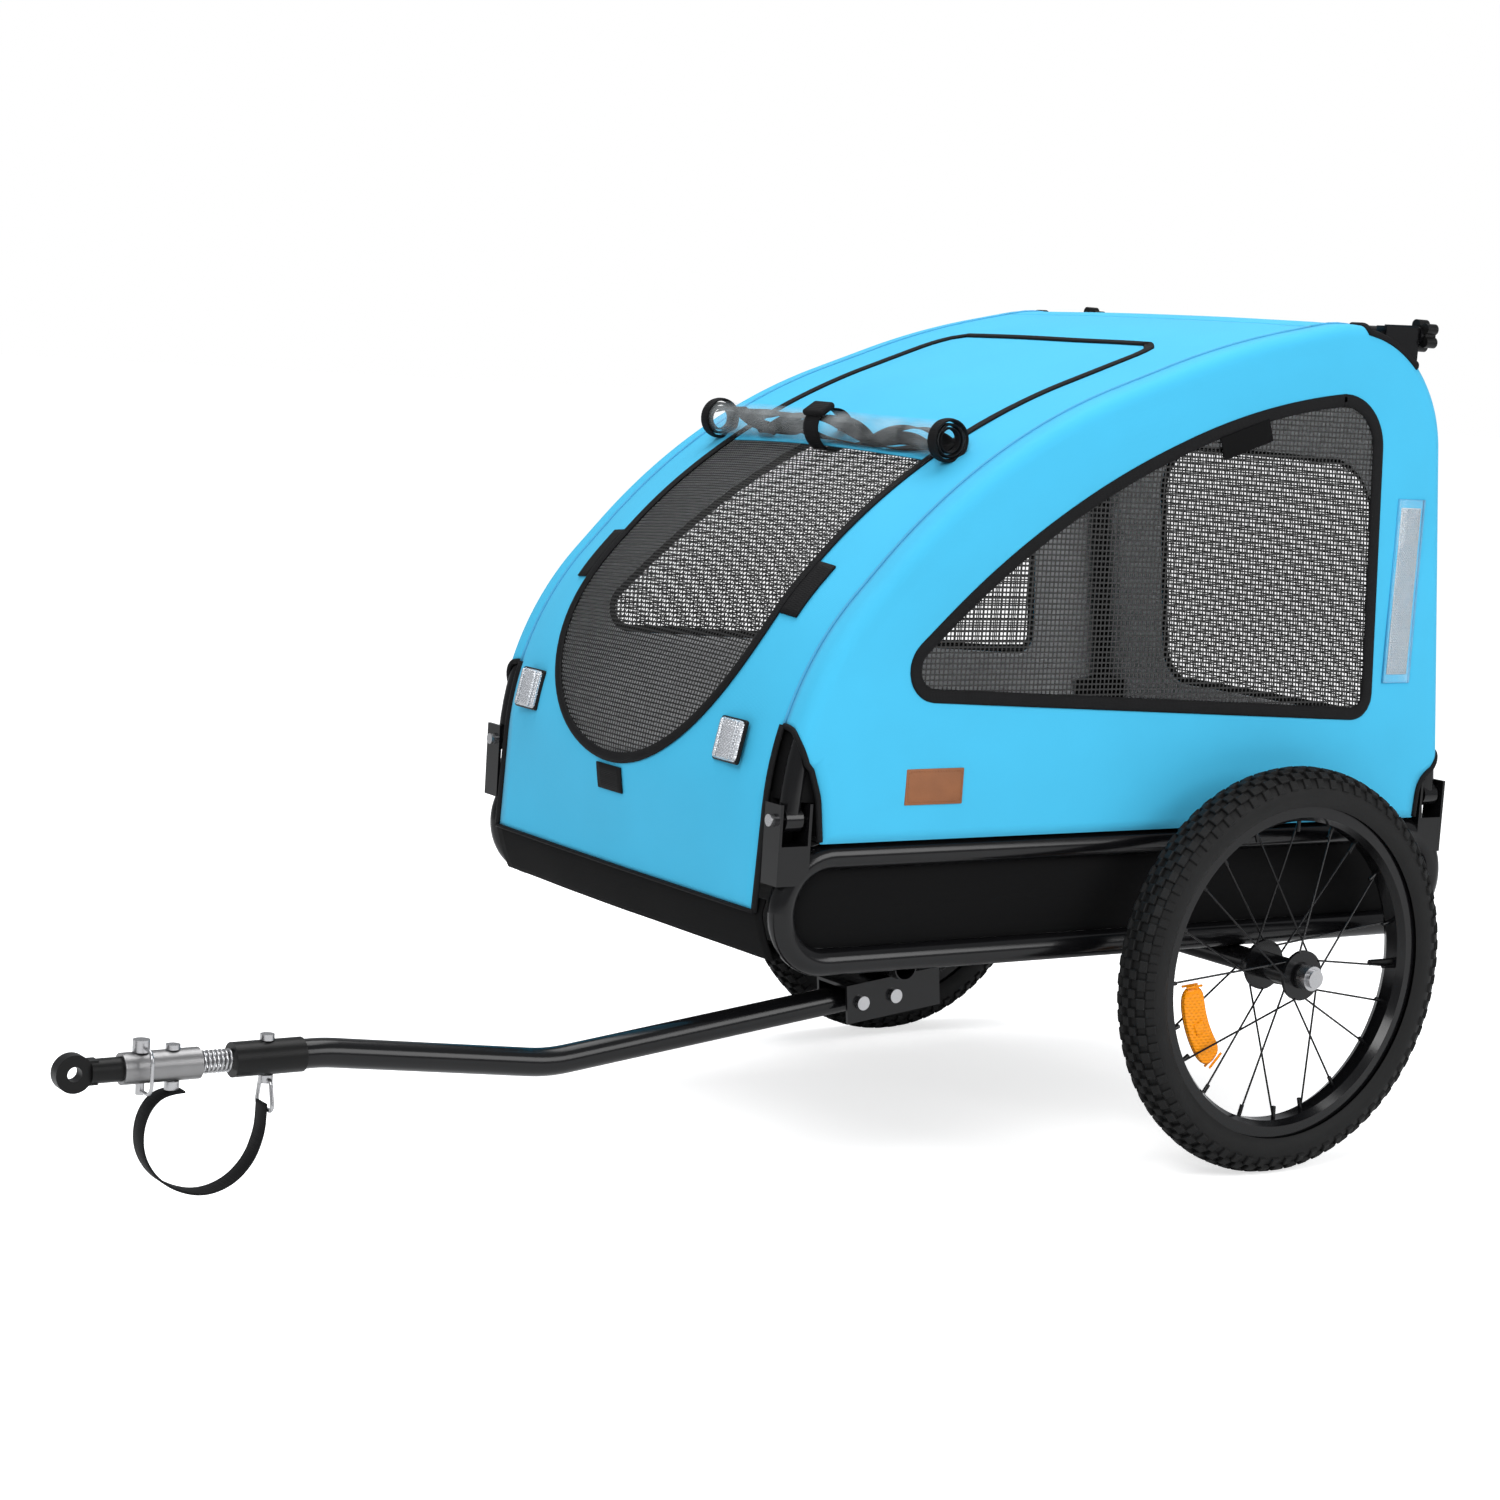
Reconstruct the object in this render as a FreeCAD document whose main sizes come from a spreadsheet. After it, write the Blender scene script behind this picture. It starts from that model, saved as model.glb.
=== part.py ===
import FreeCAD, Part
import math
import os

import Sketcher
from FreeCAD import Placement, Rotation, Vector

# Two-wheeled dog trailer for towing behind a bicycle.
# Frame: +Z up, forward is -X, the drawbar is on the left (-Y), ground at Z = 0.
# Lengths are millimetres. Places along X are given from the wheel axle, rearward positive.

SIZES = (
    ("wheel_diameter", 400.0, "outside of the tyre, 16 inch"),
    ("tyre_width", 48.0, "section of the inflated tyre"),
    ("tyre_wall", 3.5, "rubber thickness"),
    ("half_track", 320.0, "wheel plane from the middle"),
    ("rim_radius", 164.0, "edge of the rim flange"),
    ("rim_inner_radius", 148.0, "inside of the rim"),
    ("rim_width", 30.0, "across the flanges"),
    ("rim_lip", 2.5, "flange thickness"),
    ("rim_well", 4.0, "depth of the tyre seat below the flange"),
    ("hub_spacing", 53.0, "between the hub flanges, on centres"),
    ("flange_radius", 24.5, "hub flange"),
    ("flange_thick", 3.5, "hub flange"),
    ("hub_radius", 13.0, "hub barrel"),
    ("hub_clear", 2.0, "hub bore round the axle"),
    ("hub_side_gap", 1.0, "hub to axle beam"),
    ("hub_end", 5.0, "barrel past each flange"),
    ("bearing_radius", 11.0, "outer race"),
    ("bearing_width", 7.0, "ball bearing"),
    ("axle_radius", 6.0, "plug-in axle"),
    ("running_gap", 0.05, "radial gap of turning and sliding fits"),
    ("axle_head", 12.0, "radius of the axle's cup"),
    ("axle_cup", 11.0, "length of the axle's cup"),
    ("button_radius", 9.0, "release button"),
    ("button_length", 9.0, "release button"),
    ("button_travel", 4.0, "press to release the wheel"),
    ("spoke_wire", 2.0, "spoke diameter"),
    ("spoke_count", 20, "per wheel"),
    ("spoke_lead", 38.0, "degrees a spoke runs round from hub to rim"),
    ("valve_radius", 3.0, "valve stem"),
    ("valve_length", 30.0, "stem inside the rim"),
    ("wheel_reflector_length", 72.0, "between the spokes"),
    ("wheel_reflector_width", 26.0, "between the spokes"),
    ("wheel_reflector_thick", 7.0, "between the spokes"),
    ("wheel_reflector_angle", 205.0, "round the axle from the rear"),
    ("wheel_reflector_radius", 116.0, "from the axle to its middle"),
    ("rail_diameter", 25.0, "side loop tube"),
    ("tube_wall", 1.5, "all steel tubes"),
    ("half_gauge", 255.0, "side loop plane from the middle"),
    ("loop_front", 564.0, "front end of the side loop ahead of the axle"),
    ("loop_rear", 268.0, "rear end of the side loop behind the axle"),
    ("loop_low", 212.0, "underside of the side loop"),
    ("loop_high", 333.5, "top of the side loop"),
    ("vent_radius", 2.5, "vent hole in closed tubes"),
    ("rear_tube_back", 181.0, "rear cross tube behind the axle"),
    ("floor_thick", 3.0, "floor board"),
    ("cloth", 2.0, "fabric panels"),
    ("netting", 1.0, "mesh panels"),
    ("seat_gap", 0.3, "clearance of fabric on moving tubes"),
    ("hoop_diameter", 20.0, "folding hoop tube"),
    ("pivot_rise", 22.5, "fold axis above the side loop"),
    ("hinge_gap", 28.0, "between the ears of a hinge bracket"),
    ("hinge_ear", 3.0, "ear thickness"),
    ("hinge_width", 25.0, "ear width across the trailer"),
    ("hinge_rise", 15.0, "ear above the fold axis"),
    ("hinge_drop", 58.0, "ear below the fold axis"),
    ("foot_eye", 11.2, "eye on the hoop's foot"),
    ("foot_eye_length", 18.0, "eye on the hoop's foot"),
    ("hinge_bolt", 6.0, "hinge bolt diameter"),
    ("bolt_head", 5.5, "hinge bolt head radius"),
    ("bolt_head_thick", 4.5, "hinge bolt head and nut"),
    ("nose_ahead", 567.0, "front cover hem ahead of the axle"),
    ("nose_height", 270.0, "front cover hem"),
    ("brow_ahead", 556.0, "profile corner"),
    ("brow_height", 474.0, "profile corner"),
    ("brow_share", 0.53717, "bend's reach, of the shorter run beside it"),
    ("shoulder_ahead", 347.0, "profile corner"),
    ("shoulder_height", 696.0, "profile corner"),
    ("shoulder_share", 0.51755, "bend's reach, of the shorter run"),
    ("crown_ahead", 66.0, "profile corner"),
    ("crown_height", 798.0, "profile corner"),
    ("crown_share", 0.27117, "bend's reach, of the shorter run"),
    ("tail_back", 195.5, "profile corner"),
    ("tail_height", 852.0, "profile corner"),
    ("tail_share", 0.53574, "bend's reach, of the shorter run"),
    ("heel_back", 262.0, "rear cover hem behind the axle"),
    ("heel_height", 280.0, "rear cover hem"),
    ("hem_lap", 8.0, "lower end panels behind the cover's hems"),
    ("roof_seam_back", 40.0, "seam between front and rear cover"),
    ("notch_half_width", 236.0, "narrow lower part of the covers"),
    ("front_notch_top", 437.0, "cut-out round the front hinge"),
    ("rear_notch_top", 404.0, "cut-out round the rear hinge"),
    ("door_half_width", 166.0, "front mesh"),
    ("door_low", 376.0, "front mesh"),
    ("door_high", 662.0, "front mesh"),
    ("door_foot_bend", 152.7, "front mesh, lower corners"),
    ("door_head_bend", 30.0, "front mesh, upper corners"),
    ("rear_half_width", 166.0, "rear mesh"),
    ("rear_low", 420.0, "rear mesh"),
    ("rear_high", 690.0, "rear mesh"),
    ("rear_foot_bend", 40.0, "rear mesh, lower corners"),
    ("rear_head_bend", 60.0, "rear mesh, upper corners"),
    ("side_low", 336.0, "hem of the side panel"),
    ("window_front", 478.0, "window's sharp front corner ahead of the axle"),
    ("window_front_height", 461.0, "window's front corner"),
    ("window_nose_bend", 18.0, "window's front corner radius"),
    ("window_back", 137.0, "window's lower rear corner"),
    ("window_low", 438.0, "window's lower rear corner"),
    ("window_corner", 20.0, "window's lower rear corner radius"),
    ("window_top_back", 118.0, "window's upper rear corner"),
    ("window_top_drop", 86.0, "window's upper rear corner below the cover's"),
    ("window_top_bend", 50.0, "window's upper rear corner radius"),
    ("window_crest_ahead", 35.0, "where the window's slope meets its top"),
    ("window_crest_drop", 48.0, "the same, below the cover's crown corner"),
    ("window_crest_bend", 150.0, "radius there"),
    ("window_slope_ahead", 284.0, "bend in the window's front edge"),
    ("window_slope_drop", 62.0, "the same, below the cover's shoulder corner"),
    ("window_slope_bend", 400.0, "radius there"),
    ("notch_slant", 18.0, "slope of the hinge cut-outs' upper edge"),
    ("notch_bend", 20.0, "corner radius of the hinge cut-outs"),
    ("notch_clear", 6.0, "hinge bracket to cut-out"),
    ("strip_back", 158.0, "reflective strip behind the axle"),
    ("strip_width", 27.0, "reflective strip"),
    ("strip_low", 482.0, "reflective strip"),
    ("strip_length", 167.0, "reflective strip"),
    ("label_ahead", 434.0, "leather patch"),
    ("label_low", 367.0, "leather patch"),
    ("label_length", 65.0, "leather patch"),
    ("label_height", 33.0, "leather patch"),
    ("patch_thick", 1.5, "patches and strips"),
    ("patch_gap", 0.1, "plates on the bent cover"),
    ("lamp_side", 38.0, "front reflector, square"),
    ("lamp_thick", 7.0, "front reflector"),
    ("lamp_height", 416.0, "front reflector"),
    ("lamp_offset", 182.0, "front reflector from the middle"),
    ("tab_length", 66.0, "hook-and-loop tab"),
    ("tab_width", 22.0, "hook-and-loop tab"),
    ("tab_offset", 183.0, "side tabs from the middle"),
    ("tab_height", 546.0, "side tabs"),
    ("low_tab_height", 361.0, "middle tab"),
    ("roll_radius", 19.0, "rolled rain cover"),
    ("roll_half_length", 199.0, "rolled rain cover"),
    ("roll_height", 676.0, "where the roll lies on the cover"),
    ("strap_band", 24.0, "band round the roll"),
    ("band_thick", 1.5, "band round the roll"),
    ("bar_radius", 8.0, "spreader bar tube"),
    ("bar_rise", 19.04, "spreader bar above the middle of the cover's rear bend"),
    ("bar_back", 9.38, "front of the bar's flat ends behind that middle"),
    ("tongue_thick", 4.0, "flat end of the spreader bar"),
    ("tongue_radius", 9.5, "flat end of the spreader bar"),
    ("tongue_length", 42.0, "flat end of the spreader bar"),
    ("boss_radius", 7.0, "half width of the lug on the hoop that carries the bar"),
    ("boss_length", 46.0, "from the lug's root in the hoop tube to the bar"),
    ("boss_drop", 25.0, "lug's underside below the bar"),
    ("knob_notch_ahead", 76.0, "cover's cut-out at the knobs, ahead of the bar"),
    ("knob_notch_half", 238.0, "cover's cut-out at the knobs, from the middle"),
    ("knob_notch_drop", 52.0, "cover's cut-out at the knobs, below the bar"),
    ("knob_radius", 11.0, "star knob core"),
    ("knob_lobe", 5.5, "star knob lobe"),
    ("knob_lobes", 5, "per knob"),
    ("knob_thick", 14.0, "star knob"),
    ("knob_screw", 4.0, "screw radius"),
    ("drawbar_side", 211.0, "drawbar plane left of the middle"),
    ("drawbar_diameter", 25.0, "drawbar tube"),
    ("socket_ahead", 405.0, "middle of the drawbar bracket"),
    ("socket_height", 183.5, "middle of the drawbar bracket"),
    ("socket_length", 105.0, "drawbar bracket"),
    ("socket_width", 48.0, "drawbar bracket"),
    ("socket_depth", 36.0, "drawbar bracket"),
    ("socket_wall", 3.0, "drawbar bracket"),
    ("pin_radius", 4.0, "drawbar pins"),
    ("pin_spacing", 37.0, "drawbar pins"),
    ("pin_head", 6.5, "drawbar pin head radius"),
    ("pin_head_thick", 4.0, "drawbar pin head"),
    ("pin_tail", 9.0, "pin past the far wall"),
    ("bend_ahead", 757.0, "drawbar bend"),
    ("bend_height", 142.0, "drawbar bend"),
    ("bend_radius", 160.0, "drawbar bend"),
    ("level_ahead", 972.0, "where the drawbar runs level"),
    ("hitch_height", 168.0, "hitch axis above the ground"),
    ("collar_ahead", 991.0, "rear face of the drawbar collar"),
    ("collar_length", 62.0, "drawbar collar"),
    ("collar_radius", 14.5, "drawbar collar"),
    ("collar_bolt", 3.0, "vertical bolt radius"),
    ("collar_foot", 6.5, "collar bolt below the collar"),
    ("collar_cap", 5.0, "collar bolt head"),
    ("collar_bolt_at", 31.0, "bolt ahead of the collar's rear face"),
    ("ring_wire", 3.5, "hanging ring wire diameter"),
    ("ring_width", 32.0, "hanging ring"),
    ("ring_drop", 25.0, "hanging ring"),
    ("ring_neck", 20.0, "hanging ring's width at the bolt"),
    ("ring_bend", 5.0, "hanging ring's corners"),
    ("spring_length", 29.0, "hitch spring"),
    ("spring_radius", 7.0, "middle of the spring wire"),
    ("spring_wire", 2.2, "wire diameter"),
    ("spring_turns", 5, "coils"),
    ("spring_lead", 6.2, "each end's run from the face to the first coil"),
    ("spring_entry", 34.0, "degrees the wire turns while it runs into the first coil"),
    ("sleeve_length", 66.0, "hitch sleeve"),
    ("sleeve_radius", 13.0, "hitch sleeve"),
    ("neck_radius", 10.0, "coupling neck"),
    ("neck_depth", 45.0, "neck inside the sleeve"),
    ("weld", 1.0, "how far joined pieces run into each other"),
    ("cut_margin", 1.0, "how far a cutting space passes the piece"),
    ("eye_ahead", 1188.0, "coupling eye"),
    ("eye_radius", 15.5, "coupling eye outside"),
    ("eye_bore", 6.1, "coupling eye hole radius"),
    ("eye_thick", 12.0, "coupling eye plate"),
    ("linch_ahead", 1131.0, "linch pin"),
    ("linch_radius", 3.5, "linch pin"),
    ("linch_head", 7.0, "linch pin head radius"),
    ("linch_reach", 9.0, "pin past the sleeve"),
    ("bail_wire", 3.0, "wire diameter"),
    ("bail_reach", 11.0, "bail outside the sleeve"),
    ("bail_bend", 10.0, "bail's corners"),
    ("sleeve_bolt_ahead", 1104.0, "bolt that holds the strap"),
    ("sleeve_bolt", 3.0, "bolt radius"),
    ("sleeve_foot", 7.0, "bolt below the sleeve"),
    ("sleeve_cap", 4.0, "bolt head"),
    ("strap_width", 20.0, "safety strap"),
    ("strap_thick", 1.8, "safety strap"),
)

doc = FreeCAD.newDocument("DogTrailer")
sheet = doc.addObject("Spreadsheet::Sheet", "Sizes")
for row, (alias, number, note) in enumerate(SIZES, start=1):
    sheet.set("A%d" % row, alias)
    sheet.set("B%d" % row, str(number))
    sheet.set("C%d" % row, note)
    sheet.setAlias("B%d" % row, alias)
doc.recompute()

NODES = []
X_AXIS = Vector(1, 0, 0)
Y_AXIS = Vector(0, 1, 0)
Z_AXIS = Vector(0, 0, 1)
SIDES = (("left", -1), ("right", 1))


def size(alias):
    """Number held in the sheet."""
    return float(sheet.get(alias))


def bound(text):
    """Expression text with every size name pointed at the sheet."""
    words = text.replace("(", " ( ").replace(")", " ) ").split()
    names = {entry[0] for entry in SIZES}
    return " ".join("Sizes." + word if word in names else word for word in words)


def figure(text):
    """Value of an expression in the sheet's sizes."""
    return float(sheet.evalExpression(text))


# Derived places
AXLE_X = (size("eye_ahead") + size("eye_radius") - size("loop_rear")) / 2
AXLE_Z = size("wheel_diameter") / 2
RAIL_R = size("rail_diameter") / 2
RAIL_LOW = size("loop_low") + RAIL_R
RAIL_HIGH = size("loop_high") - RAIL_R
HOOP_R = size("hoop_diameter") / 2
HOOP_INSET = HOOP_R + size("cloth") + size("seat_gap")
SIDE_INNER = size("half_gauge") + HOOP_R
COVER_HALF = SIDE_INNER - size("seat_gap")


def at(x, y, z):
    """Point from its place along X counted from the axle."""
    return Vector(x + AXLE_X, y, z)


def turned(base, axis=Z_AXIS, degrees=0.0):
    return Placement(base, Rotation(axis, degrees))


def along_y(base):
    """Placement whose local Z runs along +Y."""
    return turned(base, X_AXIS, -90)


def along_x(base):
    """Placement whose local Z runs along +X."""
    return turned(base, Y_AXIS, 90)


def primitive(kind, name, place, **sizes):
    item = doc.addObject(kind, name)
    for prop, text in sizes.items():
        item.setExpression(prop, bound(text))
    item.Placement = place
    return item


def cylinder(name, place, radius, height):
    return primitive("Part::Cylinder", name, place, Radius=radius, Height=height)


def box(name, place, length, width, height):
    return primitive("Part::Box", name, place, Length=length, Width=width, Height=height)


def cut(name, base, tool):
    item = doc.addObject("Part::Cut", name)
    item.Base = base
    item.Tool = tool
    return item


def fuse(name, pieces):
    item = doc.addObject("Part::MultiFuse", name)
    item.Shapes = pieces
    return item


def together(name, pieces):
    """Separate solids that share one node."""
    item = doc.addObject("Part::Compound", name)
    item.Links = pieces
    return item


def shaped(name, shape, place=None):
    item = doc.addObject("Part::Feature", name)
    item.Shape = shape
    if place:
        item.Placement = place
    return item


def node(label, item):
    item.Label = label
    NODES.append(item)
    return item


def outline_sketch(body, role, corners):
    """Closed outline in an origin plane, each corner held at bound distances from the origin."""
    sketch = body.newObject("Sketcher::SketchObject", body.Name + "Outline")
    plane = next(feature for feature in body.Origin.OriginFeatures if feature.Role == role)
    sketch.AttachmentSupport = [(plane, "")]
    sketch.MapMode = "FlatFace"
    points = [Vector(figure(u), figure(v), 0) for u, v in corners]
    count = len(points)
    for index, point in enumerate(points):
        sketch.addGeometry(Part.LineSegment(point, points[(index + 1) % count]), False)
    for index in range(count):
        sketch.addConstraint(Sketcher.Constraint("Coincident", index, 2, (index + 1) % count, 1))
    for index, corner in enumerate(corners):
        for kind, text, axis_id in (("DistanceX", corner[0], -2), ("DistanceY", corner[1], -1)):
            number = figure(text)
            if abs(number) < 1e-9:
                sketch.addConstraint(Sketcher.Constraint("PointOnObject", index, 1, axis_id))
                continue
            held = sketch.addConstraint(Sketcher.Constraint(kind, -1, 1, index, 1, number))
            sketch.setExpression("Constraints[%d]" % held, bound(text))
    return sketch


def turned_body(name, corners, place):
    """Body of revolution about its own Z: corners are radius and height."""
    body = doc.addObject("PartDesign::Body", name)
    sketch = outline_sketch(body, "XZ_Plane", corners)
    spin = body.newObject("PartDesign::Revolution", name + "Spin")
    spin.Profile = sketch
    spin.ReferenceAxis = (sketch, ["V_Axis"])
    spin.Angle = 360
    body.Tip = spin
    body.Placement = place
    return body


def padded_body(name, role, corners, length, place):
    """Body padded from an outline in an origin plane, centred on that plane."""
    body = doc.addObject("PartDesign::Body", name)
    sketch = outline_sketch(body, role, corners)
    pad = body.newObject("PartDesign::Pad", name + "Pad")
    pad.Profile = sketch
    pad.setExpression("Length", bound(length))
    pad.Midplane = True
    body.Tip = pad
    body.Placement = place
    return body


def rounded_edges(corners, closed=False):
    """Straight runs joined by tangent arcs; a corner is a point and its bend radius."""
    count = len(corners)
    joints = []
    for index, (point, radius) in enumerate(corners):
        inner = closed or 0 < index < count - 1
        if not inner or radius <= 0:
            joints.append((point, None, point))
            continue
        back = (corners[index - 1][0] - point).normalize()
        ahead = (corners[(index + 1) % count][0] - point).normalize()
        half = back.getAngle(ahead) / 2
        reach = radius / math.tan(half)
        middle = point + (back + ahead).normalize() * (radius / math.sin(half) - radius)
        joints.append((point + back * reach, middle, point + ahead * reach))
    edges = []
    for index, (start, middle, end) in enumerate(joints):
        if middle is not None:
            edges.append(Part.Arc(start, middle, end).toShape())
        if closed or index < count - 1:
            following = joints[(index + 1) % count][0]
            if (following - end).Length > 1e-6:
                edges.append(Part.LineSegment(end, following).toShape())
    return edges


def swept_round(edges, radius):
    """Round bar along a chain of edges."""
    wire = Part.Wire(edges)
    start = edges[0].valueAt(edges[0].FirstParameter)
    heading = edges[0].tangentAt(edges[0].FirstParameter)
    ring = Part.Wire(Part.Circle(start, heading, radius).toShape())
    shell = wire.makePipeShell([ring], True, False)
    return shell


def hollow_tube(edges, diameter):
    bore = diameter / 2 - size("tube_wall")
    return swept_round(edges, diameter / 2).cut(swept_round(edges, bore))


def flat_face(edges):
    return Part.Face(Part.Wire(edges))


def profile(inset=0.0):
    """Cover's side outline from the front hem over the roof to the rear hem, moved inwards."""
    corners = [
        (-size("nose_ahead"), size("nose_height"), 0.0),
        (-size("brow_ahead"), size("brow_height"), size("brow_share")),
        (-size("shoulder_ahead"), size("shoulder_height"), size("shoulder_share")),
        (-size("crown_ahead"), size("crown_height"), size("crown_share")),
        (size("tail_back"), size("tail_height"), size("tail_share")),
        (size("heel_back"), size("heel_height"), 0.0),
    ]
    points = [at(x, 0, z) for x, z, _ in corners]
    runs = [second - first for first, second in zip(points, points[1:])]
    normals = [Vector(run.z, 0, -run.x).normalize() for run in runs]
    moved = []
    for index, (_, _, share) in enumerate(corners):
        first = max(index - 1, 0)
        second = min(index, len(runs) - 1)
        before = normals[first]
        after = normals[second]
        shift = (before + after) * (inset / (1 + before.dot(after)))
        bend = 0.0
        if share > 0:
            reach = share * min(runs[first].Length, runs[second].Length)
            bend = reach / math.tan(before.getAngle(after) / 2)
        moved.append((points[index] + shift, max(bend - inset, 0.0)))
    return moved


def bar_place():
    """Front of the spreader bar's flat ends in the middle plane: it follows the cover's rear bend."""
    before, (corner, bend), after = profile()[-3:]
    back = (before[0] - corner).normalize()
    ahead = (after[0] - corner).normalize()
    half = back.getAngle(ahead) / 2
    middle = corner + (back + ahead).normalize() * (bend / math.sin(half) - bend)
    return middle + Vector(size("bar_back"), 0, size("bar_rise"))


def cover_x(height, inset=0.0):
    """Place of the front cover's surface at a height, and the slope of the surface there."""
    wire = Part.Wire(rounded_edges(profile(inset)))
    level = Part.LineSegment(at(-2 * size("nose_ahead"), 0, height), at(0, 0, height)).toShape()
    best = min((edge for edge in wire.Edges), key=lambda edge: edge.distToShape(level)[0])
    spot = best.distToShape(level)[1][0][0]
    heading = best.tangentAt(best.Curve.parameter(spot))
    return spot, math.degrees(math.atan2(heading.z, heading.x))


def cover_sheet(half_width, thickness):
    """Whole cover as a bent sheet of one thickness."""
    outer = rounded_edges(profile())
    inner = rounded_edges(profile(thickness))
    starts = [edges[0].valueAt(edges[0].FirstParameter) for edges in (outer, inner)]
    ends = [edges[-1].valueAt(edges[-1].LastParameter) for edges in (outer, inner)]
    hems = [Part.LineSegment(*pair).toShape() for pair in (starts, ends)]
    face = Part.Face(Part.Wire(Part.__sortEdges__(outer + inner + hems)))
    face.translate(Vector(0, -half_width, 0))
    return face.extrude(Vector(0, 2 * half_width, 0))


def solid_box(low, high):
    span = high - low
    return Part.makeBox(span.x, span.y, span.z, low)


# Base frame

def side_loop_edges(y, shrink=0.0):
    """Stadium in a plane of constant Y, shrunk from the tube's middle line."""
    front = -size("loop_front") + RAIL_R + shrink
    rear = size("loop_rear") - RAIL_R - shrink
    low = RAIL_LOW + shrink
    high = RAIL_HIGH - shrink
    bend = (high - low) / 2
    places = ((front, low), (rear, low), (rear, high), (front, high))
    return rounded_edges([(at(x, y, z), bend) for x, z in places], closed=True)


def build_base():
    rails = []
    for name, sign in SIDES:
        y = sign * size("half_gauge")
        tube = hollow_tube(side_loop_edges(y), size("rail_diameter"))
        vent_start = at(0, y, RAIL_HIGH)
        vent = Part.makeCylinder(size("vent_radius"), size("rail_diameter"), vent_start, Y_AXIS * -sign)
        node(name + "_side_loop", shaped(name.title() + "SideLoop", tube.cut(vent)))
        rails.append(cylinder(name.title() + "RailSpace", along_x(at(-size("loop_front"), y, RAIL_LOW)),
                              "rail_diameter / 2", "loop_front + loop_rear"))
    rail_space = fuse("RailSpace", rails)

    tilt = drawbar_tilt()
    rise = size("socket_depth") / 2 + RAIL_R
    tubes = []
    for name, x, z in (
        ("Front", -size("socket_ahead") - rise * math.sin(tilt),
         size("socket_height") + rise * math.cos(tilt)),
        ("Rear", size("rear_tube_back"), RAIL_LOW),
    ):
        base = along_y(at(x, -size("half_gauge"), z))
        outside = cylinder(name + "CrossOutside", base, "rail_diameter / 2", "2 * half_gauge")
        inside = cylinder(name + "CrossInside", base, "rail_diameter / 2 - tube_wall", "2 * half_gauge")
        tube = cut(name + "CrossTube", outside, inside)
        tubes.append(cut(name + "CrossCoped", tube, rail_space))
    node("cross_tubes", together("CrossTubes", tubes))

    beam_start = -size("half_track") + figure("hub_spacing / 2 + hub_end + hub_side_gap")
    beam_place = along_y(at(0, beam_start, AXLE_Z))
    beam_length = "2 * ( half_track - hub_spacing / 2 - hub_end - hub_side_gap )"
    beam = cylinder("BeamOutside", beam_place, "loop_low - wheel_diameter / 2", beam_length)
    bore = cylinder("BeamBore", beam_place, "axle_radius + running_gap", beam_length)
    node("axle_beam", cut("AxleBeam", beam, bore))

    floor_low = RAIL_LOW + RAIL_R
    wide = "half_gauge - cloth / 2 - seat_gap"
    narrow = "half_gauge - rail_diameter / 2 - seat_gap"
    ends_x = ("rail_diameter - loop_front", "loop_rear - rail_diameter")
    straight_x = ("( loop_high - loop_low ) / 2 - loop_front", "loop_rear - ( loop_high - loop_low ) / 2")
    minus = "- ( %s )"
    floor_corners = [
        (ends_x[0], minus % narrow), (straight_x[0], minus % narrow), (straight_x[0], minus % wide),
        (straight_x[1], minus % wide), (straight_x[1], minus % narrow), (ends_x[1], minus % narrow),
        (ends_x[1], narrow), (straight_x[1], narrow), (straight_x[1], wide),
        (straight_x[0], wide), (straight_x[0], narrow), (ends_x[0], narrow),
    ]
    floor_place = turned(at(0, 0, floor_low + size("floor_thick") / 2))
    node("floor_panel", padded_body("FloorPanel", "XY_Plane", floor_corners, "floor_thick", floor_place))

    sides = []
    for name, sign in SIDES:
        y = sign * size("half_gauge") - size("cloth") / 2
        below = flat_face(side_loop_edges(y, RAIL_R)).extrude(Vector(0, size("cloth"), 0))
        sides.append(shaped(name.title() + "LowerPanel", below))
    node("side_lower_panels", together("SideLowerPanels", sides))

    ends = []
    top = figure("nose_height + hem_lap")
    for name, x in (("Front", -size("loop_front") + RAIL_R), ("Rear", size("loop_rear") - RAIL_R)):
        low = at(x - size("cloth") / 2, -size("half_gauge") + RAIL_R, floor_low)
        high = at(x + size("cloth") / 2, size("half_gauge") - RAIL_R, top)
        ends.append(shaped(name + "LowerPanel", solid_box(low, high)))
    node("end_lower_panels", together("EndLowerPanels", ends))


# Folding hoops and their hinges

def hoop_points():
    """Hoop's middle line: the cover's profile moved in, with its feet on the fold axis."""
    inner = profile(HOOP_INSET)
    level = figure("loop_high + pivot_rise")
    ends = []
    for foot, knee in ((inner[0][0], inner[1][0]), (inner[-1][0], inner[-2][0])):
        share = (level - foot.z) / (knee.z - foot.z)
        ends.append(foot + (knee - foot) * share)
    return [(ends[0], 0.0)] + inner[1:-1] + [(ends[1], 0.0)]


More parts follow.
